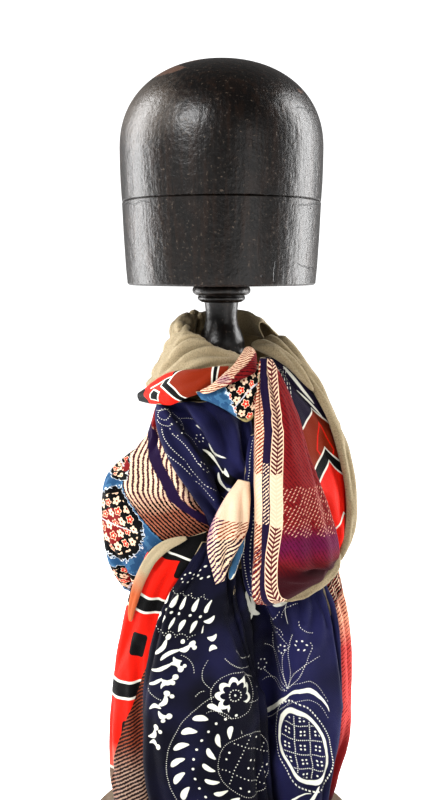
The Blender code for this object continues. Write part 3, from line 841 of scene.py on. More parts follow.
def left_tail_print():
    draw = navy_ground("navy_left_tail", 1.05)
    place = draw.place(1.6, 0.09)
    row = Place(place.x + (place.y - 60) * -0.12, place.y)
    low_row = row.at(0, 71)
    tears = any_of(tear(Place((row.x - 2).repeated(10.6), row.y - 53), 2.3, 5.6),
                   disc(Place((row.x - 6).repeated(9.0), row.y - 62), 1.15),
                   tear(Place((low_row.x + low_row.y * 0.35).repeated(9.6), low_row.y * -1.0), 2.1, 5.2))
    draw.white(all_of(tears, place.x - place.y * 0.2 - 34), dot_ring(place.at(22, 24), 6.0, 8, 1.05),
               dot_ring(place.at(8, 32), 4.6, 7, 0.8), scallops(row.at(20, 45), 10.6, 2.4, 0.38, 4),
               scallops(Place(row.x - 20, row.y.more(80)), 10.6, 2.4, 0.38, 4))
    draw.white(each(brush, place, SCROLLS))
    draw.white(each(bud, place, BUDS))
    draw.white(each(stitch, place, TAIL_STITCHES))
    flower = place.at(86, 132)
    lobes = all_of(petals(flower, 9, 12.5, 4.6), petals(flower, 9, 9.0, 3.4) * -1.0,
                   sector(flower, -250, 40, 14))
    draw.white(disc(flower, 1.0), dot_ring(flower, 5.0, 13, 0.55), lobes, dot_ring(flower, 20.5, 66, 0.36))
    big = place.at(101, 198)
    draw.white(tear_ring(big, 63, 27, 3.7, 5.8, 0.6, 112, 246), dot_ring(big, 50, 34, 1.15, 112, 256),
               tear_ring(big, 37, 18, 2.9, 5.4, -0.6, 105, 255), dot_ring(big, 72.5, 230, 0.38, 112, 248))
    draw.white(dot_ring(big, 29, 96, 0.36), all_of(lattice(big.at(2, 0, 24), 27, 0.75), disc(big, 28)))
    return draw.finish()


def right_tail_print():
    draw = navy_ground("navy_right_tail", 0.35)
    # Painted shade: the tail's left side, where it turns back into the gap between the tails, is painted near
    # black
    draw.paint(shade(7, 7, 14), draw.s.less(44) + draw.noise(0.05) * 16, soft=14, strength=0.94)
    # Painted shade: a dark oval over the hollow in the tail, and a dark band along its top where it comes out
    # from under the layers above
    painted_hollow_shade = oval(draw.place().at(46, 78), 12, 26)
    draw.paint(shade(9, 9, 18), any_of(draw.t.less(16), painted_hollow_shade), soft=14, strength=0.7)
    place = draw.place(1.8, 0.07)
    draw.white(each(brush, place, RIGHT_STROKES))
    draw.white(each(dotted_circle, place, RIGHT_RINGS), dot_ring(place.at(58, 50), 9.0, 28, 0.42, 40, 300))
    draw.white(each(stitch, place.at(7, 0), PETAL_STITCHES))
    draw.white(each(stitch, place, STEM_STITCHES))
    inner = place.at(81, 160, -7)
    medallion = oval(inner, 20.5, 34)
    draw.paint(WHITE, medallion.size() - 1.35, soft=0.4)
    beads = disc(Place(inner.angle().repeated(0.085) * 27.0, medallion * 0.0), 0.6)
    draw.white(all_of(medallion.near(5.0, 0.45), beads))
    draw.white(all_of(lattice(inner.at(0, 0, 14), 13.5, 0.72), medallion + 2.4))
    draw.white(brush(place, 62, 226, 90, 196, 3, 2.6), brush(place, 58, 214, 82, 204, -3, 1.6))
    return draw.finish()


def swag_print():
    draw = navy_ground("navy_swag", 0.45)
    place = draw.place(1.8, 0.08)
    draw.paint(BLACK, each(bud, place, [(55, 53, 8), (66, 68, 8), (50, 78, 7)]), soft=3)
    # Painted shade: near black along the swag's deepest fold valley, where the cloth folds under itself
    valley_shade = (draw.s - draw.t * 0.55).near(14, 4.0) + draw.rough(0.1, 5)
    draw.paint(shade(10, 10, 20), all_of(valley_shade, draw.t.less(74)), soft=7, strength=0.85)
    draw.white(each(dotted_circle, place, SWAG_RINGS))
    draw.white(each(stitch, place, SWAG_STITCHES))
    draw.white(each(brush, place, SWAG_BRANCHES))
    return draw.finish()


def fold_print():
    draw = navy_ground("navy_fold", 0.3)
    draw.white(dot_line(Place(draw.t, draw.s - 4.0), 2.4, 0.45, 400),
               dot_line(Place(draw.t, draw.s - 9.5), 3.4, 0.6, 400))
    return draw.finish()


def flecks(draw, shape, scale, share):
    """Darken a blue ground in small patches."""
    patches = (draw.noise(scale, 4.0) - share) * 20.0
    draw.paint(BLUE_DARK, all_of(shape + 2.0, patches), strength=0.8)


def lobe_print():
    """Print the left loop: slanting twill, a dark stripe across it and a flowered corner."""
    draw = Print("twill_lobe", CREAM, weave=1.0)
    low = draw.t + draw.s * 0.25 + draw.noise(0.05) * 22.0 - 120
    draw.paint(COPPER, low * -1.0, soft=24, strength=0.9)
    woven(draw, shade(64, 30, 40), (0.68, -0.73), 3.1, 1.35)
    woven(draw, BLACK, (0.68, -0.73), 3.1, 1.5, low * -1.0, 2.8)
    draw.paint(CHERRY, draw.t.less(22) + draw.noise(0.1) * 6, soft=5)
    stripe = (draw.s - draw.t * 1.6).near(-22.4, 6.5)
    draw.paint(shade(36, 22, 52), stripe + draw.rough(0.5, 3.0), soft=1.2)
    corner = draw.s - draw.t * 0.96 + 20
    ruled(draw, corner + draw.rough(0.34, 7.0), ((1.2, shade(24, 24, 30)), (0.0, BLUE)))
    flecks(draw, corner, 0.12, 0.55)
    place = draw.place(3.0, 0.1)
    boteh = place.at(52, 112, 25)
    folk_ground(draw, boteh, all_of(oval(boteh, 27, 33), corner + 3), oval(boteh.at(-3, 5), 12, 17), 12.5)
    upper = place.at(33, 58, 30)
    folk_ground(draw, upper, all_of(oval(upper, 24, 13), corner - 3), oval(upper.at(3, 0), 9, 4), 9.5)
    lower = place.at(46, 168)
    folk_ground(draw, lower, all_of(oval(lower, 30, 16), corner), oval(lower, 10, 6), 10.5)
    return draw.finish()


def collar_print():
    draw = Print("twill_collar", CREAM, weave=1.0)
    woven(draw, RUST, TWILL_WAY, 2.9, 1.2)
    draw.paint(CHERRY, draw.s.more(16) + draw.rough(0.3, 4), soft=1.2)
    woven(draw, MAROON, TWILL_WAY, 2.9, 0.8, draw.s.more(16))
    draw.paint(PURPLE, disc(draw.place().at(10, 52), 5), soft=4, strength=0.5)
    return draw.finish()


def band_print():
    draw = Print("twill_band", CREAM, weave=1.0)
    woven(draw, RUST, TWILL_WAY, 3.1, 1.2, draw.t.within(34, 52))
    woven(draw, shade(44, 22, 40), TWILL_WAY, 3.1, 1.5, draw.t.more(50))
    inner = draw.s + draw.noise(0.1) * 8 - 10 + (draw.t - 44).size() * 0.25
    draw.paint(PURPLE, inner, soft=9, strength=0.75)
    woven(draw, shade(60, 24, 70), TWILL_WAY, 3.1, 0.9, all_of(draw.s.less(12), draw.t.more(34)))
    return draw.finish()


def tail_back_print():
    draw = Print("twill_tail_back", shade(196, 78, 74), weave=1.0)
    slant = draw.t.less(52) + draw.s * 1.1
    draw.paint(shade(222, 160, 132), draw.t.less(66) + draw.noise(0.06) * 10, soft=26)
    draw.paint(BLACK, slant + draw.noise(0.2) * 10, soft=5)
    woven(draw, CREAM, EVEN_WAY, 2.3, 0.8, slant, 2.8)
    woven(draw, BLACK, EVEN_WAY, 2.7, 1.1, draw.t.less(44), strength=0.7)
    woven(draw, CHERRY, EVEN_WAY, 2.7, 0.7)
    draw.paint(CHERRY, draw.t.more(150), soft=26)
    draw.paint(MAROON, draw.t.more(205), soft=20)
    return draw.finish()


def front_print():
    """Print the front loop: a twill strip, a navy strip, a braid and a wide wine field."""
    draw = Print("wine_lobe", CHERRY, weave=1.0)
    glow = draw.noise(0.05) * 40 - 20 + (draw.t - 100).size() * 0.2
    draw.paint(shade(134, 42, 42), glow, soft=16, strength=0.5)
    draw.paint(shade(92, 24, 62), (draw.t + draw.noise(0.05) * 14).within(152, 172), soft=14, strength=0.95)
    draw.paint(MAROON, draw.t.more(172), soft=14)
    woven(draw, MAROON, (0.75, -0.65), 2.4, 0.7, strength=0.62)
    rows = Place(draw.s + draw.t * 0.5, draw.t + draw.s * 0.4).tiled(3.4, 2.3)
    dashes = all_of(rows.x.size() - 0.5, rows.y.size() - 0.62, draw.t.within(100, 154) + draw.noise(0.2) * 12,
                    draw.noise(0.12) * 34 - 19.5)
    draw.paint(shade(214, 168, 146), dashes, strength=0.75)
    strip = draw.s + (draw.t * -0.28 + 17.0).above(0.0)
    twill = strip.within(*TWILL_STRIP)
    navy = strip.within(*NAVY_STRIP)
    border = strip.within(*BRAID_STRIP)
    solid = draw.t.within(92, 146) + draw.noise(0.2) * 10
    draw.paint(CREAM, twill)
    draw.paint(CREAM, border)
    woven(draw, RUST, STEEP_WAY, 2.6, 1.3, all_of(twill, solid * -1.0))
    woven(draw, shade(60, 26, 56), STEEP_WAY, 2.9, 1.1, all_of(twill, draw.t.more(160)))
    draw.paint(shade(34, 24, 50), navy + draw.rough(0.5, 1.2))
    woven(draw, CREAM, EVEN_WAY, 2.2, 0.8, all_of(navy + 0.6, draw.t.within(88, 140)))
    off = strip - sum(BRAID_STRIP) / 2
    strands = (draw.t + off.size() * 0.9).repeated(3.6).size() - 1.0
    plait = any_of(all_of(strands, border + 0.7), off.size() - 0.35)
    draw.paint(shade(84, 34, 40), all_of(plait, solid * -1.0))
    draw.paint(shade(84, 34, 40), plait, strength=0.16)
    woven(draw, RUST, STEEP_WAY, 2.9, 1.1, twill, strength=0.16)
    draw.paint(NAVY, strip.less(TWILL_STRIP[0]))
    return draw.finish()


def edge_print():
    """Print the left tail's edge: plain red fields, ruled chevrons and black lozenges, then twill."""
    draw = Print("bold_tail_edge", RED, roughness=0.62, weave=0.7)
    middle = draw.s - 30.0
    band = (draw.t + middle * middle * 0.012 - draw.s * 0.1 - 76).repeated(EDGE_REPEAT)
    ruled(draw, band.size(), ((8.4, WHITE), (6.0, BLACK)))
    draw.paint(BLACK, slab(Place(draw.s - 45, (draw.t - 117).repeated(EDGE_REPEAT)), 7.0, 11.0, 3.0))
    draw.paint(BLACK, draw.t.less(30))
    draw.white((draw.t - draw.s * 0.25).near(16, 1.0))
    twill = all_of((draw.s + (draw.t - 124).above(0.0) * 0.29).more(60.0), draw.t.more(124))
    draw.paint(COPPER, twill)
    draw.paint(shade(158, 132, 116), all_of(twill, draw.t.more(222)), soft=26)
    woven(draw, shade(30, 18, 20), (0.5, 0.86), 3.0, 1.7, twill)
    return draw.finish()


def fall_print():
    """Print the right panel: a dark head with wedges, a rust field, a black zigzag and a red foot."""
    draw = Print("bold_fall", shade(30, 22, 44), roughness=0.62, weave=0.7)
    place = draw.place()
    draw.white(brush(place, 24, 12, 56, 50, -1, 2.2), brush(place, 40, 36, 62, 62, -1, 1.8))
    ticks = place.tiled(2.8, 4.4)
    patch = all_of(draw.t.within(14, 44), draw.s.within(14, 30))
    draw.white(all_of(ticks.x.size() - 0.35, ticks.y.size() - 1.4, patch))
    zigzag = draw.t - draw.s.repeated(52.0).size() * 0.9
    ruled(draw, zigzag.more(56), ((3.0, WHITE), (0.8, RUST)))
    lozenge = (draw.s - 52).size() * 1.2 + (draw.t - 92).size() * 0.55
    ruled(draw, lozenge, ((14.0, RED), (12.2, RUST)))
    ruled(draw, zigzag.more(92), ((3.0, WHITE), (0.8, BLACK), (-9.0, WHITE), (-11.2, RED)))
    draw.white(zigzag.near(150, 1.0))
    return draw.finish()


def cuff_print():
    """Print the turned-up corner: a rust field between ruled chevrons, and a small lozenge."""
    draw = Print("bold_cuff", RUST, roughness=0.62, weave=0.7)
    chevron = draw.t + (draw.s - 12).size() * 0.9
    ruled(draw, chevron.more(50), ((0.0, WHITE), (-2.0, BLACK), (-8.5, WHITE), (-10.4, RED)))
    lozenge = (draw.s - 16).size() + (draw.t - 69).size() * 0.8
    ruled(draw, lozenge, ((6.4, WHITE), (4.6, BLACK)))
    draw.paint(RED, all_of(draw.s.less(7), draw.t.within(48, 73)))
    draw.white(all_of(draw.s.near(7.4, 0.7), draw.t.within(48, 73)))
    ruled(draw, draw.t, ((13.0, WHITE), (11.4, BLACK), (8.6, WHITE), (7.2, RUST)))
    draw.paint(BLACK, draw.t.more(83))
    return draw.finish()


def band_flowers():
    draw = Print("floral_fan", BLACK, roughness=0.8)
    place = draw.place(2.0, 0.1)
    heart = disc(place.at(28, 22), 6.5)
    small_flowers(draw, place, 11.5, draw.t.less(46))
    draw.paint(shade(176, 176, 182), brush(place, 14, 8, 24, 48, 3, 1.3))
    draw.paint(CHERRY, all_of(heart, draw.t.less(40)))
    small_flowers(draw, place.at(3, 2), 11.0, heart)
    draw.paint(OLIVE, all_of(draw.far.less(6) + draw.noise(0.3) * 4, draw.t.within(26, 50)), soft=1.5)
    ragged = draw.t.more(46) + draw.rough(0.30, 9.0)
    ruled(draw, ragged, ((1.0, shade(186, 196, 206)), (0.0, BLUE)))
    flecks(draw, ragged, 0.16, 0.52)
    return draw.finish()


def return_flowers():
    draw = Print("blue_return", BLUE, roughness=0.8)
    draw.white(draw.far - 1.4 + draw.rough(0.5, 3.0))
    return draw.finish()


def block_marks(draw):
    """Draw the block's chips, a soft lighter grey patch high on its left front, cracks and nail hole, and
    give how deep they are cut.
    """
    x, y, z = draw.parts(draw.flat)
    front = Place(x, z)
    ragged = draw.rough(0.22, 14.0, 4.0)
    chips = any_of(oval(front.at(-46, 685), 16, 5), oval(front.at(-27, 694), 11, 3),
                   disc(front.at(62, 668), 2))
    draw.paint(shade(92, 68, 56), all_of(chips + ragged, y - 10), soft=1.0, strength=0.75)
    patch = disc(front.at(-62, 655), 26) + ragged * 3.0
    draw.paint(shade(92, 84, 76), all_of(patch, y), soft=22, strength=0.35)
    way = draw.rough(0.06, 7.0)
    level = z + way
    cracks = any_of(all_of((level + x * 0.05).near(577, 0.35), x.within(-84, -56)),
                    all_of((level - (x - 62) * 0.16).near(578, 0.35), x.within(60, 84)),
                    all_of((level + x * 0.3).near(551, 0.22), x.within(60, 80)),
                    all_of((level + way).near(652, 0.22), x.within(58, 78)),
                    all_of((x + way).near(41, 0.3), z.within(519, 534)),
                    disc(front.at(69.5, 577), 1.3), disc(front.at(31, 523), 0.7))
    cracks = all_of(cracks, y + 20.0)
    draw.paint(shade(7, 6, 6), cracks, soft=0.3)
    return cracks.math("MULTIPLY", 4.0, clamp=True) * 2.0


def wood(name, dark, light, roughness, marked=False):
    """Finish waxed old wood with upright grain, for the block with its marks."""
    draw = Finish(name, dark)
    position = draw.tree.nodes.new("ShaderNodeTexCoord").outputs["Object"]
    draw.flat = draw.node("ShaderNodeMapping", {"Vector": position, "Scale": (1 / MM,) * 3}).outputs[0]
    upright = draw.node("ShaderNodeMapping", {"Vector": draw.flat, "Scale": GRAIN_SCALE}).outputs[0]
    grain = draw.noise(1.0, 6.0, upright)
    specks = draw.noise(0.42, 4.0)
    draw.blend(light, grain.ramp(2.4, -1.1) * 0.8)
    draw.blend(light, draw.noise(0.035, 3.0).ramp(5.0, -2.6) * 0.35)
    draw.blend(shade(104, 92, 80), specks.ramp(9.0, -5.6) * 0.4)
    relief = grain * 0.6 + specks * 0.5 + draw.noise(0.11, 3.0) * 1.2
    if marked:
        relief = relief + block_marks(draw)
    draw.tree.links.new(draw.colour, draw.shader.inputs["Base Color"])
    rough = (specks - 0.5) * SPECK_ROUGHNESS + roughness
    draw.tree.links.new(rough.source, draw.shader.inputs["Roughness"])
    draw.raised(relief, WOOD_STRENGTH, WOOD_DEPTH)
    draw.shader.inputs["Specular IOR Level"].default_value = WOOD_SPECULAR
    return draw.material


def stretch(printer, slot, cells, sections, curl=(0, 0), tuck=1.0, hems=(), rounded=0, edges=(),
            lies_on=(), carried_by=(), folds=(), creases=()):
    """Describe one stretch of cloth.

    cells counts its cells across and along, curl is how far each edge turns under in degrees, and tuck
    deepens that turn. hems names its sides with a hem, and rounded is the length over which a roll's ends
    are rounded off. edges names the narrow stretches that edge it, and is not used. lies_on names the
    stretches beneath it. carried_by names what holds it where there are none, and is not used.
    """
    return dict(printer=printer, slot=slot, cells=cells, sections=sections, curl=curl, tuck=tuck, hems=hems,
                rounded=rounded, edges=edges, lies_on=lies_on, carried_by=carried_by, folds=folds,
                creases=creases)


# The stretches from the innermost layer out. A section gives the places of the cloth's two edges, ax, ay,
# az, bx, by, bz (a is the left, upper or inner edge), and how far it swells out between them. A fold or
# crease runs between two points, u0, v0, u1, v1, in hundredths of the way across and along. Then come a
# crease's bow sideways, and the half width and height of both.
STRETCHES = {
    "neck_wrap": stretch(
        plain_cloth, "plain_reverse", (9, 23), curl=(70, 12), carried_by=("stand_stem",),
        sections=[(18, -11, 457, 22, -19, 444, 2), (17, -24, 456, 18, -43, 442, 3),
            (8, -31, 459, 5, -55, 441, 5), (-8, -31, 464, -17, -54, 437, 7),
            (-22, -24, 472, -40, -41, 430, 7), (-30, -12, 479, -60, -19, 426, 5),
            (-33, 6, 484, -61, 10, 428, 4), (-25, 23, 488, -49, 34, 432, 7), (-9, 31, 491, -18, 47, 436, 9),
            (10, 31, 492, 20, 49, 438, 9), (25, 24, 490, 46, 38, 440, 8), (34, 9, 482, 62, 26, 444, 7)],
        folds=[(66, 42, 55, 10, 5, -2.5), (84, 44, 76, 14, 5, -2.5), (40, 48, 58, 80, 6, 3.5),
            (60, 46, 74, 88, 6, -4), (76, 52, 88, 96, 6, 3.5)],
        creases=[(2, 50, 34, 46, 2, 2.4, -4.2), (2, 60, 40, 54, 3, 2.6, -4.6), (3, 56, 30, 50, 2, 2.2, 3.0),
            (46, 40, 27, 20, 4, 1.8, -2.8), (56, 40, 40, 26, 3, 2.6, 1.5), (68, 41, 30, 18, 5, 2.0, -3.4),
            (84, 36, 58, 14, 3, 1.8, -2.8), (60, 33, 50, 20, 2, 1.6, -1.6), (34, 40, 20, 30, 2, 1.6, -2.0),
            (0, 68, 50, 64, 2, 2.6, -4.6), (0, 76, 46, 80, -2, 2.8, -4.2), (22, 37, 10, 22, -2, 2.4, -2.0),
            (12, 33, 4, 26, 0, 2.0, 1.6), (30, 45, 52, 66, 4, 3.4, -2.8), (56, 50, 68, 84, -4, 3.0, -2.4),
            (20, 58, 34, 94, 3, 3.2, -2.6), (82, 55, 90, 80, 2, 2.8, -2.0), (42, 72, 62, 99, -3, 3.4, 2.2),
            (68, 44, 80, 56, 2, 2.6, -1.8)]),
    "back_drape": stretch(
        plain_cloth, "plain_reverse", (20, 20), carried_by=("neck_wrap",),
        sections=[(44, 10, 450, -36, 14, 452, 38), (66, 4, 432, -46, 2, 432, 53),
            (84, 3, 408, -48, -6, 408, 55), (98, 3, 375, -56, -4, 380, 57), (104, 3, 341, -73, -1, 345, 58),
            (105, 2, 306, -79, 1, 308, 56), (99, 2, 277, -76, 2, 272, 47), (88, 0, 252, -68, -2, 246, 36)],
        folds=[(14, 14, 52, 36, 12, 7), (86, 14, 52, 36, 12, 7), (10, 26, 50, 50, 10, -7),
            (90, 26, 54, 50, 10, -7), (8, 40, 54, 66, 12, 9), (92, 38, 54, 66, 12, 9),
            (12, 58, 48, 82, 10, -7), (90, 56, 56, 80, 10, -6), (22, 78, 40, 100, 12, 6),
            (80, 74, 66, 100, 12, 6)],
        creases=[(8, 6, 44, 22, -8, 4.2, -4.0), (90, 8, 58, 20, 7, 3.8, -3.2),
            (18, 20, 82, 21, -16, 4.5, 3.0), (12, 33, 60, 45, -12, 4.0, -3.4),
            (88, 36, 48, 52, 10, 4.6, -3.8), (22, 52, 50, 60, -7, 3.6, -2.8), (80, 50, 52, 68, 9, 4.0, 3.0),
            (16, 68, 42, 86, -8, 4.4, -3.6), (86, 66, 62, 84, 8, 3.8, -3.2), (34, 82, 40, 99, 2, 4.0, -3.4),
            (58, 80, 60, 99, -2, 4.2, -3.0), (72, 88, 68, 100, 1, 3.4, 2.4)]),
    "left_lobe": stretch(
        lobe_print, "twill_print", (13, 15), curl=(55, 0), tuck=1.5, hems=("a",), carried_by=("back_drape",),
        sections=[(-55, -24, 412, -46, -27, 411, 2), (-60, -23, 397, -42, -31, 396, 5),
            (-65, -22, 384, -33, -38, 381, 8), (-81, -18, 368, -25, -42, 362, 11),
            (-98, -14, 352, -17, -43, 341, 14), (-103, -12, 329, -10, -43, 321, 15),
            (-102, -12, 303, -8, -43, 300, 15), (-98, -13, 281, -14, -41, 280, 13),
            (-92, -12, 264, -36, -32, 263, 10), (-86, -10, 251, -52, -23, 251, 6)],
        folds=[(50, 22, 75, 62, 9, -3), (30, 52, 62, 80, 9, -2.5)],
        creases=[(54, 2, 66, 22, 3, 2.0, -2.4), (78, 2, 90, 24, 3, 2.0, -2.2),
            (74, 70, 84, 98, 3, 2.4, -2.2), (44, 80, 54, 100, 2, 2.0, -2.2), (66, 2, 80, 30, 4, 2.8, -2.4),
            (44, 4, 56, 26, 5, 3.2, -2.2), (86, 20, 92, 52, -3, 3.0, -2.0), (22, 22, 30, 48, 5, 3.6, -2.0),
            (40, 36, 62, 60, -5, 3.8, -1.8), (34, 72, 52, 99, 3, 3.0, -2.8), (16, 66, 28, 97, -4, 3.4, -2.4),
            (58, 76, 70, 100, 2, 2.8, -2.2), (6, 40, 10, 74, 3, 3.6, -2.4)]),
    "right_fall": stretch(
        fall_print, "bold_print", (8, 14), hems=("end",), carried_by=("back_drape",),
        sections=[(33, -18, 453, 46, -12, 451, 3), (35, -28, 440, 65, -5, 439, 4),
            (37, -36, 424, 81, -1, 420, 5), (42, -42, 403, 93, 1, 398, 6), (49, -44, 377, 103, 2, 371, 7),
            (58, -43, 352, 112, 4, 342, 7), (67, -41, 326, 114, 2, 317, 7), (74, -37, 304, 110, -3, 296, 6),
            (81, -32, 286, 102, -10, 280, 4), (86, -31, 278, 96, -18, 274, 3)],
        folds=[(25, 15, 60, 60, 8, -3)],
        creases=[(18, 8, 34, 46, 3, 2.8, -2.2), (52, 2, 74, 36, -3, 3.0, -2.0),
            (66, 40, 58, 76, 4, 3.4, -1.8), (40, 62, 60, 98, 2, 2.8, -2.2),
            (82, 55, 76, 94, -2, 2.6, -1.8)]),
    "right_rim": stretch(
        plain_cloth, "plain_reverse", (4, 22), curl=(10, 15), rounded=24, lies_on=("right_fall",),
        sections=[(31, 8, 459, 39, 16, 457, 4), (38, 2, 464, 48, 11, 463, 6), (47, -3, 461, 55, 8, 466, 6),
            (60, -6, 450, 69, 6, 448, 6), (73, -7, 434, 83, 6, 430, 5), (83, -8, 418, 92, 4, 410, 5),
            (93, -8, 398, 102, 4, 390, 5), (101, -7, 373, 110, 4, 369, 5), (108, -5, 345, 116, 6, 342, 5),
            (110, -6, 318, 118, 5, 317, 5), (107, -10, 294, 114, 1, 293, 4),
            (100, -17, 277, 106, -9, 276, 3)],
        creases=[(30, 2, 62, 16, 1, 2.2, -2.2), (66, 10, 36, 30, -1, 2.0, -1.8),
            (30, 34, 60, 52, 1, 2.0, -1.2), (64, 56, 34, 78, -1, 2.2, -1.2),
            (40, 84, 66, 98, 0, 1.8, -1.2)]),
    "right_roll": stretch(
        plain_cloth, "plain_reverse", (4, 12), curl=(10, 20), rounded=32,
        lies_on=("right_fall", "right_rim"),
        sections=[(27, -4, 458, 28, 2, 468, 3), (32, -10, 458, 35, -5, 468, 4),
            (42, -17, 455, 45, -11, 464, 5), (57, -18, 445, 59, -13, 453, 5),
            (69, -16, 432, 71, -12, 440, 4), (77, -14, 422, 79, -11, 429, 2)],
        creases=[(30, 5, 66, 40, 1, 1.8, -1.4), (62, 45, 36, 90, -1, 1.8, -1.2)]),
    "navy_swag": stretch(
        swag_print, "navy_print", (12, 13), curl=(10, 0), lies_on=("left_lobe", "neck_wrap"),
        sections=[(-51, -33, 417, 18, -46, 419, 7), (-51, -37, 408, 24, -50, 402, 9),
            (-45, -44, 390, 25, -50, 381, 10), (-34, -49, 367, 25, -50, 360, 10),
            (-22, -50, 344, 24, -50, 342, 9), (-12, -51, 322, 22, -50, 324, 7),
            (-7, -51, 309, 20, -50, 309, 4)],
        folds=[(30, 0, 52, 55, 8, -5), (12, 8, 20, 80, 8, 3), (62, 5, 62, 40, 7, 3),
            (66, 42, 62, 92, 7, -4)],
        creases=[(24, 0, 54, 72, 6, 3.9, -7.6), (10, 4, 22, 76, -3, 5.0, 2.6), (52, 2, 60, 50, 6, 2.8, -3.4),
            (36, 0, 40, 30, 2, 2.2, -2.2), (86, 10, 88, 50, -3, 2.6, -2.4), (74, 4, 80, 46, -4, 3.0, 2.0),
            (44, 50, 62, 98, 3, 2.8, -3.0), (78, 52, 72, 98, -3, 2.6, -2.4),
            (28, 66, 48, 100, 2, 2.4, -2.0)]),
    "wrap_cuff": stretch(
        cuff_print, "bold_print", (6, 14), hems=("b",), lies_on=("neck_wrap", "navy_swag"),
        sections=[(6, -58, 450, 2, -60, 441, 2), (-4, -58, 450, -6, -60, 436, 4),
            (-16, -56, 448, -15, -59, 430, 5), (-29, -49, 446, -28, -55, 425, 6),
            (-44, -39, 442, -41, -47, 418, 6), (-56, -30, 435, -51, -38, 417, 5),
            (-64, -22, 428, -61, -27, 417, 3), (-71, -15, 423, -70, -16, 418, 1)],
        creases=[(30, 20, 55, 50, 1, 2.2, -1.0), (60, 62, 40, 92, 1, 2.2, 1.0),
            (20, 52, 36, 70, 0, 1.8, -0.8)]),
    "inner_fold": stretch(
        fold_print, "navy_print", (3, 12), rounded=44, lies_on=("navy_swag",),
        sections=[(20, -54, 392, 32, -58, 396, 3), (19, -54, 360, 34, -60, 362, 3),
            (18, -54, 330, 35, -60, 330, 3), (16, -54, 290, 35, -59, 290, 3),
            (18, -54, 258, 34, -59, 257, 3)],
        creases=[(40, 2, 62, 60, 1, 1.8, -1.4), (60, 55, 35, 98, -1, 1.8, -1.2)]),
    "floral_band": stretch(
        band_flowers, "floral_print", (6, 10), lies_on=("navy_swag", "neck_wrap", "wrap_cuff"),
        sections=[(29, -50, 453, 33, -54, 446, 2), (25, -56, 448, 32, -60, 430, 5),
            (18, -60, 443, 28, -62, 414, 6), (8, -61, 438, 20, -63, 406, 6), (-3, -62, 434, 8, -62, 413, 5),
            (-13, -61, 431, -5, -60, 420, 3), (-20, -60, 430, -16, -59, 424, 1)],
        creases=[(30, 20, 50, 70, 1, 2.0, -1.2), (66, 10, 72, 52, -1, 2.0, -1.0)]),
    "collar_roll": stretch(
        collar_print, "twill_print", (6, 12), rounded=8, lies_on=("neck_wrap", "wrap_cuff", "floral_band"),
        sections=[(19, -36, 461, 26, -36, 462, 4), (17, -44, 457, 28, -44, 458, 6),
            (13, -53, 453, 28, -54, 452, 7), (6, -61, 446, 26, -62, 446, 7), (-1, -65, 441, 14, -67, 441, 6),
            (-10, -66, 435, 0, -68, 435, 4), (-19, -64, 431, -12, -66, 429, 2)],
        creases=[(35, 12, 46, 64, 1, 1.8, -1.0), (72, 30, 66, 82, -1, 1.8, -0.9)]),
    "left_tail_edge": stretch(
        edge_print, "bold_print", (7, 18), curl=(55, 0), tuck=2.5, hems=("a",), edges=("edge_roll",),
        lies_on=("left_lobe",),
        sections=[(-35, -56, 307, -13, -57, 313, 2), (-52, -52, 301, -14, -57, 299, 4),
            (-62, -47, 291, -22, -55, 284, 5), (-70, -42, 273, -33, -51, 266, 5),
            (-77, -36, 254, -40, -47, 248, 6), (-82, -32, 232, -46, -45, 225, 8),
            (-88, -28, 204, -52, -44, 198, 8), (-93, -28, 172, -56, -44, 171, 8),
            (-97, -28, 140, -58, -44, 140, 8), (-98, -28, 110, -57, -44, 110, 8),
            (-97, -28, 83, -54, -44, 83, 8), (-94, -28, 58, -50, -44, 58, 8),
            (-91, -28, 38, -47, -44, 38, 8)],
        folds=[(62, 30, 70, 98, 7, -3)],
        creases=[(30, 2, 46, 20, 2, 2.6, -1.6), (66, 16, 72, 42, -2, 2.8, -1.8),
            (44, 34, 38, 56, 3, 3.2, -1.4), (62, 48, 70, 80, 3, 2.6, -2.2), (36, 62, 42, 86, -3, 3.0, -1.6),
            (78, 66, 74, 99, 2, 2.6, -2.0), (12, 24, 16, 60, 2, 2.8, -1.6)]),
    "edge_roll": stretch(
        roll_print, "plain_reverse", (4, 12), rounded=46, lies_on=("left_tail_edge", "left_lobe"),
        sections=[(-31, -57, 312, -27, -60, 305, 2), (-46, -54, 306, -41, -59, 299, 3),
            (-59, -51, 295, -54, -56, 288, 3), (-68, -47, 280, -61, -52, 276, 3),
            (-75, -43, 262, -67, -48, 261, 3), (-79, -40, 244, -72, -45, 244, 2),
            (-81, -39, 231, -74, -43, 232, 1)],
        creases=[(40, 10, 56, 50, 0, 1.6, -1.0), (56, 60, 42, 94, 0, 1.6, -0.8)]),
    "right_tail_back": stretch(
        tail_back_print, "twill_print", (6, 14), curl=(0, 55), tuck=3.0, hems=("b",),
        carried_by=("right_fall",),
        sections=[(80, -30, 270, 99, -20, 273, 4), (88, -30, 243, 107, -18, 240, 6),
            (92, -30, 196, 112, -18, 194, 7), (92, -30, 150, 113, -18, 148, 7),
            (90, -30, 118, 112, -18, 116, 7), (84, -30, 89, 106, -20, 87, 6), (78, -30, 62, 99, -20, 60, 6),
            (72, -30, 38, 92, -22, 38, 5)],
        creases=[(40, 5, 56, 42, 2, 2.6, -1.6), (54, 48, 44, 92, -2, 2.8, -1.6),
            (84, 20, 78, 70, 2, 2.6, -1.4)]),
    "right_tail": stretch(
        right_tail_print, "navy_print", (12, 14), curl=(0, 20), hems=("b",), lies_on=("right_tail_back",),
        sections=[(9, -35, 276, 84, -44, 277, 4), (9, -32, 250, 88, -44, 260, 8),
            (10, -28, 230, 95, -40, 241, 12), (13, -24, 206, 101, -37, 208, 15),
            (15, -20, 169, 104, -36, 167, 17), (18, -18, 128, 103, -36, 125, 17),
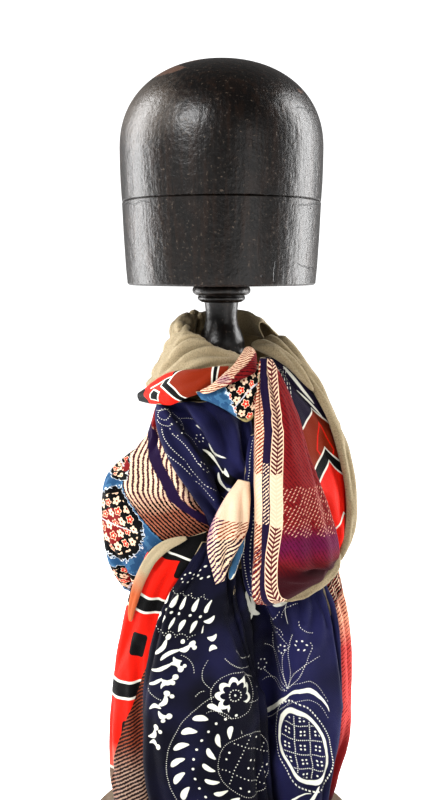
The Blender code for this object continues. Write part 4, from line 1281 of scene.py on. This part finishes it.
            (21, -18, 92, 96, -38, 89, 16), (25, -18, 62, 92, -40, 61, 14), (28, -18, 38, 88, -40, 38, 13)],
        folds=[(34, 10, 40, 95, 8, -4), (60, 6, 55, 55, 8, 3), (76, 5, 82, 45, 7, -3)],
        creases=[(24, 2, 36, 34, 3, 2.2, -3.0), (54, 0, 56, 26, 2, 2.2, -2.4),
            (76, 2, 74, 30, -2, 2.2, -2.0), (94, 4, 96, 36, 1, 2.0, -1.6), (44, 30, 44, 62, 3, 2.8, -2.2),
            (26, 2, 34, 66, 5, 6.0, -6.4), (48, 0, 52, 40, -4, 3.0, -3.0), (66, 2, 60, 34, 4, 3.0, -2.2),
            (86, 6, 90, 52, -3, 3.2, -2.2), (30, 40, 38, 100, -4, 6.0, -6.0), (52, 56, 50, 98, 3, 4.0, 1.8),
            (8, 22, 16, 98, 3, 3.4, -2.6), (72, 62, 80, 98, 3, 3.4, -1.6)]),
    "left_tail": stretch(
        left_tail_print, "navy_print", (14, 16), curl=(0, 25), hems=("b",), lies_on=("left_tail_edge",),
        sections=[(-16, -56, 305, 8, -58, 301, 4), (-26, -58, 287, 12, -59, 283, 7),
            (-42, -58, 262, 15, -59, 257, 12), (-53, -57, 236, 20, -56, 233, 17),
            (-60, -56, 207, 26, -52, 207, 20), (-65, -56, 175, 32, -48, 175, 22),
            (-66, -56, 137, 36, -46, 137, 22), (-65, -56, 99, 40, -46, 99, 20),
            (-61, -56, 68, 44, -46, 67, 18), (-58, -56, 38, 47, -46, 38, 17)],
        folds=[(70, 18, 84, 58, 7, -7), (54, 10, 66, 70, 8, 4), (20, 30, 12, 95, 9, 2.5),
            (38, 40, 44, 95, 9, -2.5)],
        creases=[(66, 2, 80, 30, 3, 2.0, -2.6), (80, 14, 86, 44, 3, 2.2, -2.4),
            (94, 10, 98, 46, 2, 2.2, -2.4), (84, 52, 80, 96, -3, 2.8, -2.6), (60, 24, 70, 60, 4, 3.0, -1.6),
            (72, 6, 90, 56, 5, 3.0, -5.0), (90, 36, 94, 90, -3, 3.2, 2.0), (56, 0, 66, 26, 3, 2.8, -2.2),
            (34, 4, 22, 36, -4, 3.0, -1.8), (10, 22, 6, 60, 2, 3.0, -1.6), (16, 56, 24, 98, -4, 3.8, -1.6),
            (44, 50, 52, 98, 5, 4.4, -1.6), (76, 60, 72, 100, -4, 3.6, -2.2),
            (32, 30, 40, 56, 4, 4.2, 1.2)]),
    "knot_return": stretch(
        return_flowers, "floral_print", (3, 8), rounded=12, lies_on=("left_tail", "navy_swag", "inner_fold"),
        sections=[(15, -63, 312, 20, -62, 312, 2), (13, -64, 301, 18, -63, 300, 2),
            (9, -65, 290, 14, -64, 289, 2), (6, -65, 282, 11, -64, 281, 1), (5, -64, 276, 10, -63, 276, 1)]),
    "knot_band": stretch(
        band_print, "twill_print", (9, 14), edges=("knot_return",),
        lies_on=("navy_swag", "inner_fold", "left_tail", "knot_return"),
        sections=[(14, -64, 358, 23, -64, 356, 2), (6, -67, 348, 23, -65, 344, 5),
            (-2, -69, 335, 22, -66, 330, 9), (-8, -70, 322, 20, -66, 319, 12),
            (-11, -71, 310, 17, -67, 310, 12), (-11, -71, 300, 13, -69, 302, 9),
            (-9, -71, 290, 8, -71, 293, 6), (-7, -70, 281, 4, -71, 284, 4), (-5, -69, 273, 2, -70, 276, 2)],
        creases=[(28, 20, 46, 66, 2, 2.2, -2.0), (54, 10, 70, 50, 2, 2.0, -1.6),
            (72, 40, 60, 86, -2, 2.2, -1.8), (16, 42, 34, 84, 1, 1.8, -1.4)]),
    "front_lobe": stretch(
        front_print, "wine_print", (12, 18), curl=(20, 40), tuck=1.7, hems=("end",), edges=("front_hem",),
        lies_on=("floral_band", "inner_fold", "right_fall", "right_roll", "navy_swag"),
        sections=[(31, -60, 457, 41, -56, 455, 2), (30, -64, 442, 47, -59, 444, 4),
            (29, -67, 426, 55, -60, 426, 9), (28, -69, 408, 63, -58, 405, 13),
            (28, -70, 384, 70, -56, 381, 16), (28, -71, 355, 80, -54, 351, 19),
            (29, -71, 326, 91, -52, 321, 21), (28, -71, 299, 97, -52, 296, 21),
            (26, -69, 274, 95, -52, 288, 18), (27, -66, 258, 91, -52, 283, 13),
            (31, -60, 254, 86, -48, 281, 7)],
        folds=[(62, 35, 70, 90, 9, -3), (15, 70, 60, 97, 8, -2)],
        creases=[(14, 2, 20, 36, -2, 2.4, -1.2), (42, 6, 36, 44, 3, 3.4, -1.6),
            (74, 24, 66, 62, 5, 4.0, -1.4), (52, 52, 60, 86, -4, 4.0, -1.8), (30, 72, 72, 92, 6, 3.2, -2.4),
            (12, 60, 18, 98, 2, 2.8, -1.6), (88, 40, 84, 80, 2, 2.8, -1.6)]),
    "front_hem": stretch(
        plain_cloth, "plain_reverse", (4, 10), rounded=22, lies_on=("right_tail",),
        sections=[(97, -42, 291, 102, -40, 288, 2), (93, -45, 280, 98, -42, 275, 3),
            (82, -48, 271, 87, -45, 264, 4), (66, -50, 263, 70, -47, 255, 4),
            (50, -52, 256, 53, -48, 250, 3)],
        creases=[(40, 15, 60, 55, 0, 1.6, -0.8), (58, 60, 40, 92, 0, 1.6, -0.8)]),
}


def joined_shapes(parts):
    """Join lists of points and faces into one."""
    points = []
    faces = []
    for some_points, some_faces in parts:
        faces += (some_faces + len(points)).tolist()
        points += some_points.tolist()
    return points, faces


def build_scarf():
    """Make each stretch over the fine surfaces of those it lies on."""
    reverse = plain_cloth()
    shapes = {}
    pieces = {}
    for index, (name, spec) in enumerate(STRETCHES.items()):
        grid = refined(solid_grid(name, spec), CELL)
        grid = folded(grid, spec["creases"], BOW_STEPS)
        grid = rippled(grid, RIPPLE, index)
        if spec["rounded"]:
            grid = narrowed(grid, spec["rounded"])
        if spec["lies_on"]:
            below = BVHTree.FromPolygons(*joined_shapes([shapes[lower] for lower in spec["lies_on"]]))
            grid = laid_over(grid, below, FINE_CLEARANCE, SHOULDERS)
        form = shell(grid, spec["hems"])
        shapes[name] = form[:2]
        face = reverse if spec["printer"] is plain_cloth else spec["printer"]()
        piece = cloth_piece(name, grid, form, [face, reverse])
        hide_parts(name)
        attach(piece, "root")
        pieces[name] = (piece, grid_size(grid))
    for name, (piece, size) in pieces.items():
        if size[0] > NARROWEST:
            [length * MM for length in size]


def turned(name, profile, material, depth_ratio=1.0):
    """Turn an outline of radius and height, closed at both ends, and let it take its solid's place."""
    points = [(0.0, 0.0, profile[0][1]), (0.0, 0.0, profile[-1][1])]
    for radius, height in profile:
        for side in range(TURNED_SIDES):
            angle = 2 * pi * side / TURNED_SIDES
            points.append((radius * cos(angle), radius * depth_ratio * sin(angle), height))
    faces = []
    top = 2 + (len(profile) - 1) * TURNED_SIDES
    for side in range(TURNED_SIDES):
        after = (side + 1) % TURNED_SIDES
        faces += [(0, 2 + after, 2 + side), (1, top + side, top + after)]
        for low in range(2, top, TURNED_SIDES):
            faces.append((low + side, low + after, low + TURNED_SIDES + after, low + TURNED_SIDES + side))
    mesh = bpy.data.meshes.new(name)
    mesh.from_pydata((np.array(points) * MM).tolist(), [], faces)
    mesh.shade_smooth()
    mesh.set_sharp_from_angle(angle=radians(SHARP_ANGLE))
    mesh.materials.append(material)
    piece = bpy.data.objects.new(name + "_turned", mesh)
    bpy.context.scene.collection.objects.link(piece)
    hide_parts(name)
    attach(piece, "root")


def smooth_profile(profile, steps=5):
    """Read a smooth outline through its points."""
    return smooth_read(np.array(profile), np.linspace(0, 1, (len(profile) - 1) * steps + 1)).tolist()


def crown_profile():
    """Follow the block's wall above the joint, then the superellipse of its dome."""
    outline = list(CROWN_WALL)
    power = 2 / DOME_POWER
    for step in range(DOME_RINGS + 1):
        angle = 0.5 * pi * step / DOME_RINGS * DOME_SHARE
        outline.append((DOME_HALF_WIDTH * cos(angle) ** power, DOME_BASE + DOME_HEIGHT * sin(angle) ** power))
    return outline


def build_stand():
    """Turn the foot, stem and collar, and the oval block with its joint line."""
    dark = wood("block_wood", WOOD_DARK, WOOD_BROWN, 0.36, marked=True)
    foot = wood("foot_wood", FOOT_BROWN, FOOT_GREY, 0.65)
    turned("stand_foot", FOOT_PROFILE, foot)
    turned("stand_stem", STEM_BASE + smooth_profile(STEM_PROFILE), dark)
    turned("stand_collar", smooth_profile(COLLAR_PROFILE), dark)
    turned("block_band", BAND_PROFILE, dark, BLOCK_DEPTH_RATIO)
    turned("block_crown", crown_profile(), dark, BLOCK_DEPTH_RATIO)


def area_light(name, place, size, watts):
    lamp = bpy.data.lights.new(name, "AREA")
    lamp.shape = "RECTANGLE"
    lamp.size, lamp.size_y = size
    lamp.energy = watts
    light = bpy.data.objects.new(name, lamp)
    light.location = place
    light.rotation_euler = (Vector(LIGHTS_AIM) - Vector(place)).to_track_quat("-Z", "Y").to_euler()
    light.visible_camera = False
    bpy.context.scene.collection.objects.link(light)


def build_floor():
    """Lay the pale floor, which glows a little."""
    mesh = bpy.data.meshes.new("floor")
    corners = [(FLOOR_REACH * x, FLOOR_REACH * y, 0) for x, y in ((-1, -1), (1, -1), (1, 1), (-1, 1))]
    mesh.from_pydata(corners, [], [(0, 1, 2, 3)])
    floor = bpy.data.objects.new("floor", mesh)
    bpy.context.scene.collection.objects.link(floor)
    pale = bpy.data.materials.new("pale_floor")
    pale.use_nodes = True
    shader = pale.node_tree.nodes["Principled BSDF"]
    shader.inputs["Base Color"].default_value = FLOOR_COLOUR
    shader.inputs["Roughness"].default_value = FLOOR_ROUGHNESS
    shader.inputs["Specular IOR Level"].default_value = 0.0
    shader.inputs["Emission Color"].default_value = WHITE_LIGHT
    shader.inputs["Emission Strength"].default_value = FLOOR_GLOW
    mesh.materials.append(pale)


def build_studio():
    """Set the pale floor, the white surroundings and the soft lights."""
    scene = bpy.context.scene
    scene.view_settings.view_transform = "Standard"
    scene.view_settings.look = "Medium High Contrast"
    build_floor()
    world = bpy.data.worlds.new("white_studio")
    world.use_nodes = True
    tree = world.node_tree
    background = tree.nodes["Background"]
    background.inputs["Color"].default_value = WHITE_LIGHT
    path = tree.nodes.new("ShaderNodeLightPath")
    strength = tree.nodes.new("ShaderNodeMapRange")
    strength.inputs["To Min"].default_value = ROOM_LIGHT
    strength.inputs["To Max"].default_value = SKY_LIGHT
    tree.links.new(path.outputs["Is Camera Ray"], strength.inputs["Value"])
    tree.links.new(strength.outputs[0], background.inputs["Strength"])
    scene.world = world
    for light in LIGHTS:
        area_light(*light)


def place_camera():
    camera = bpy.data.objects.new("camera", bpy.data.cameras.new("camera"))
    camera.data.lens = LENS
    camera.data.sensor_width = SENSOR
    camera.location = CAMERA_PLACE
    camera.rotation_euler = (radians(90) - CAMERA_TILT, 0, 0)
    bpy.context.scene.collection.objects.link(camera)
    bpy.context.scene.camera = camera


place_camera()
build_stand()
build_scarf()
build_studio()
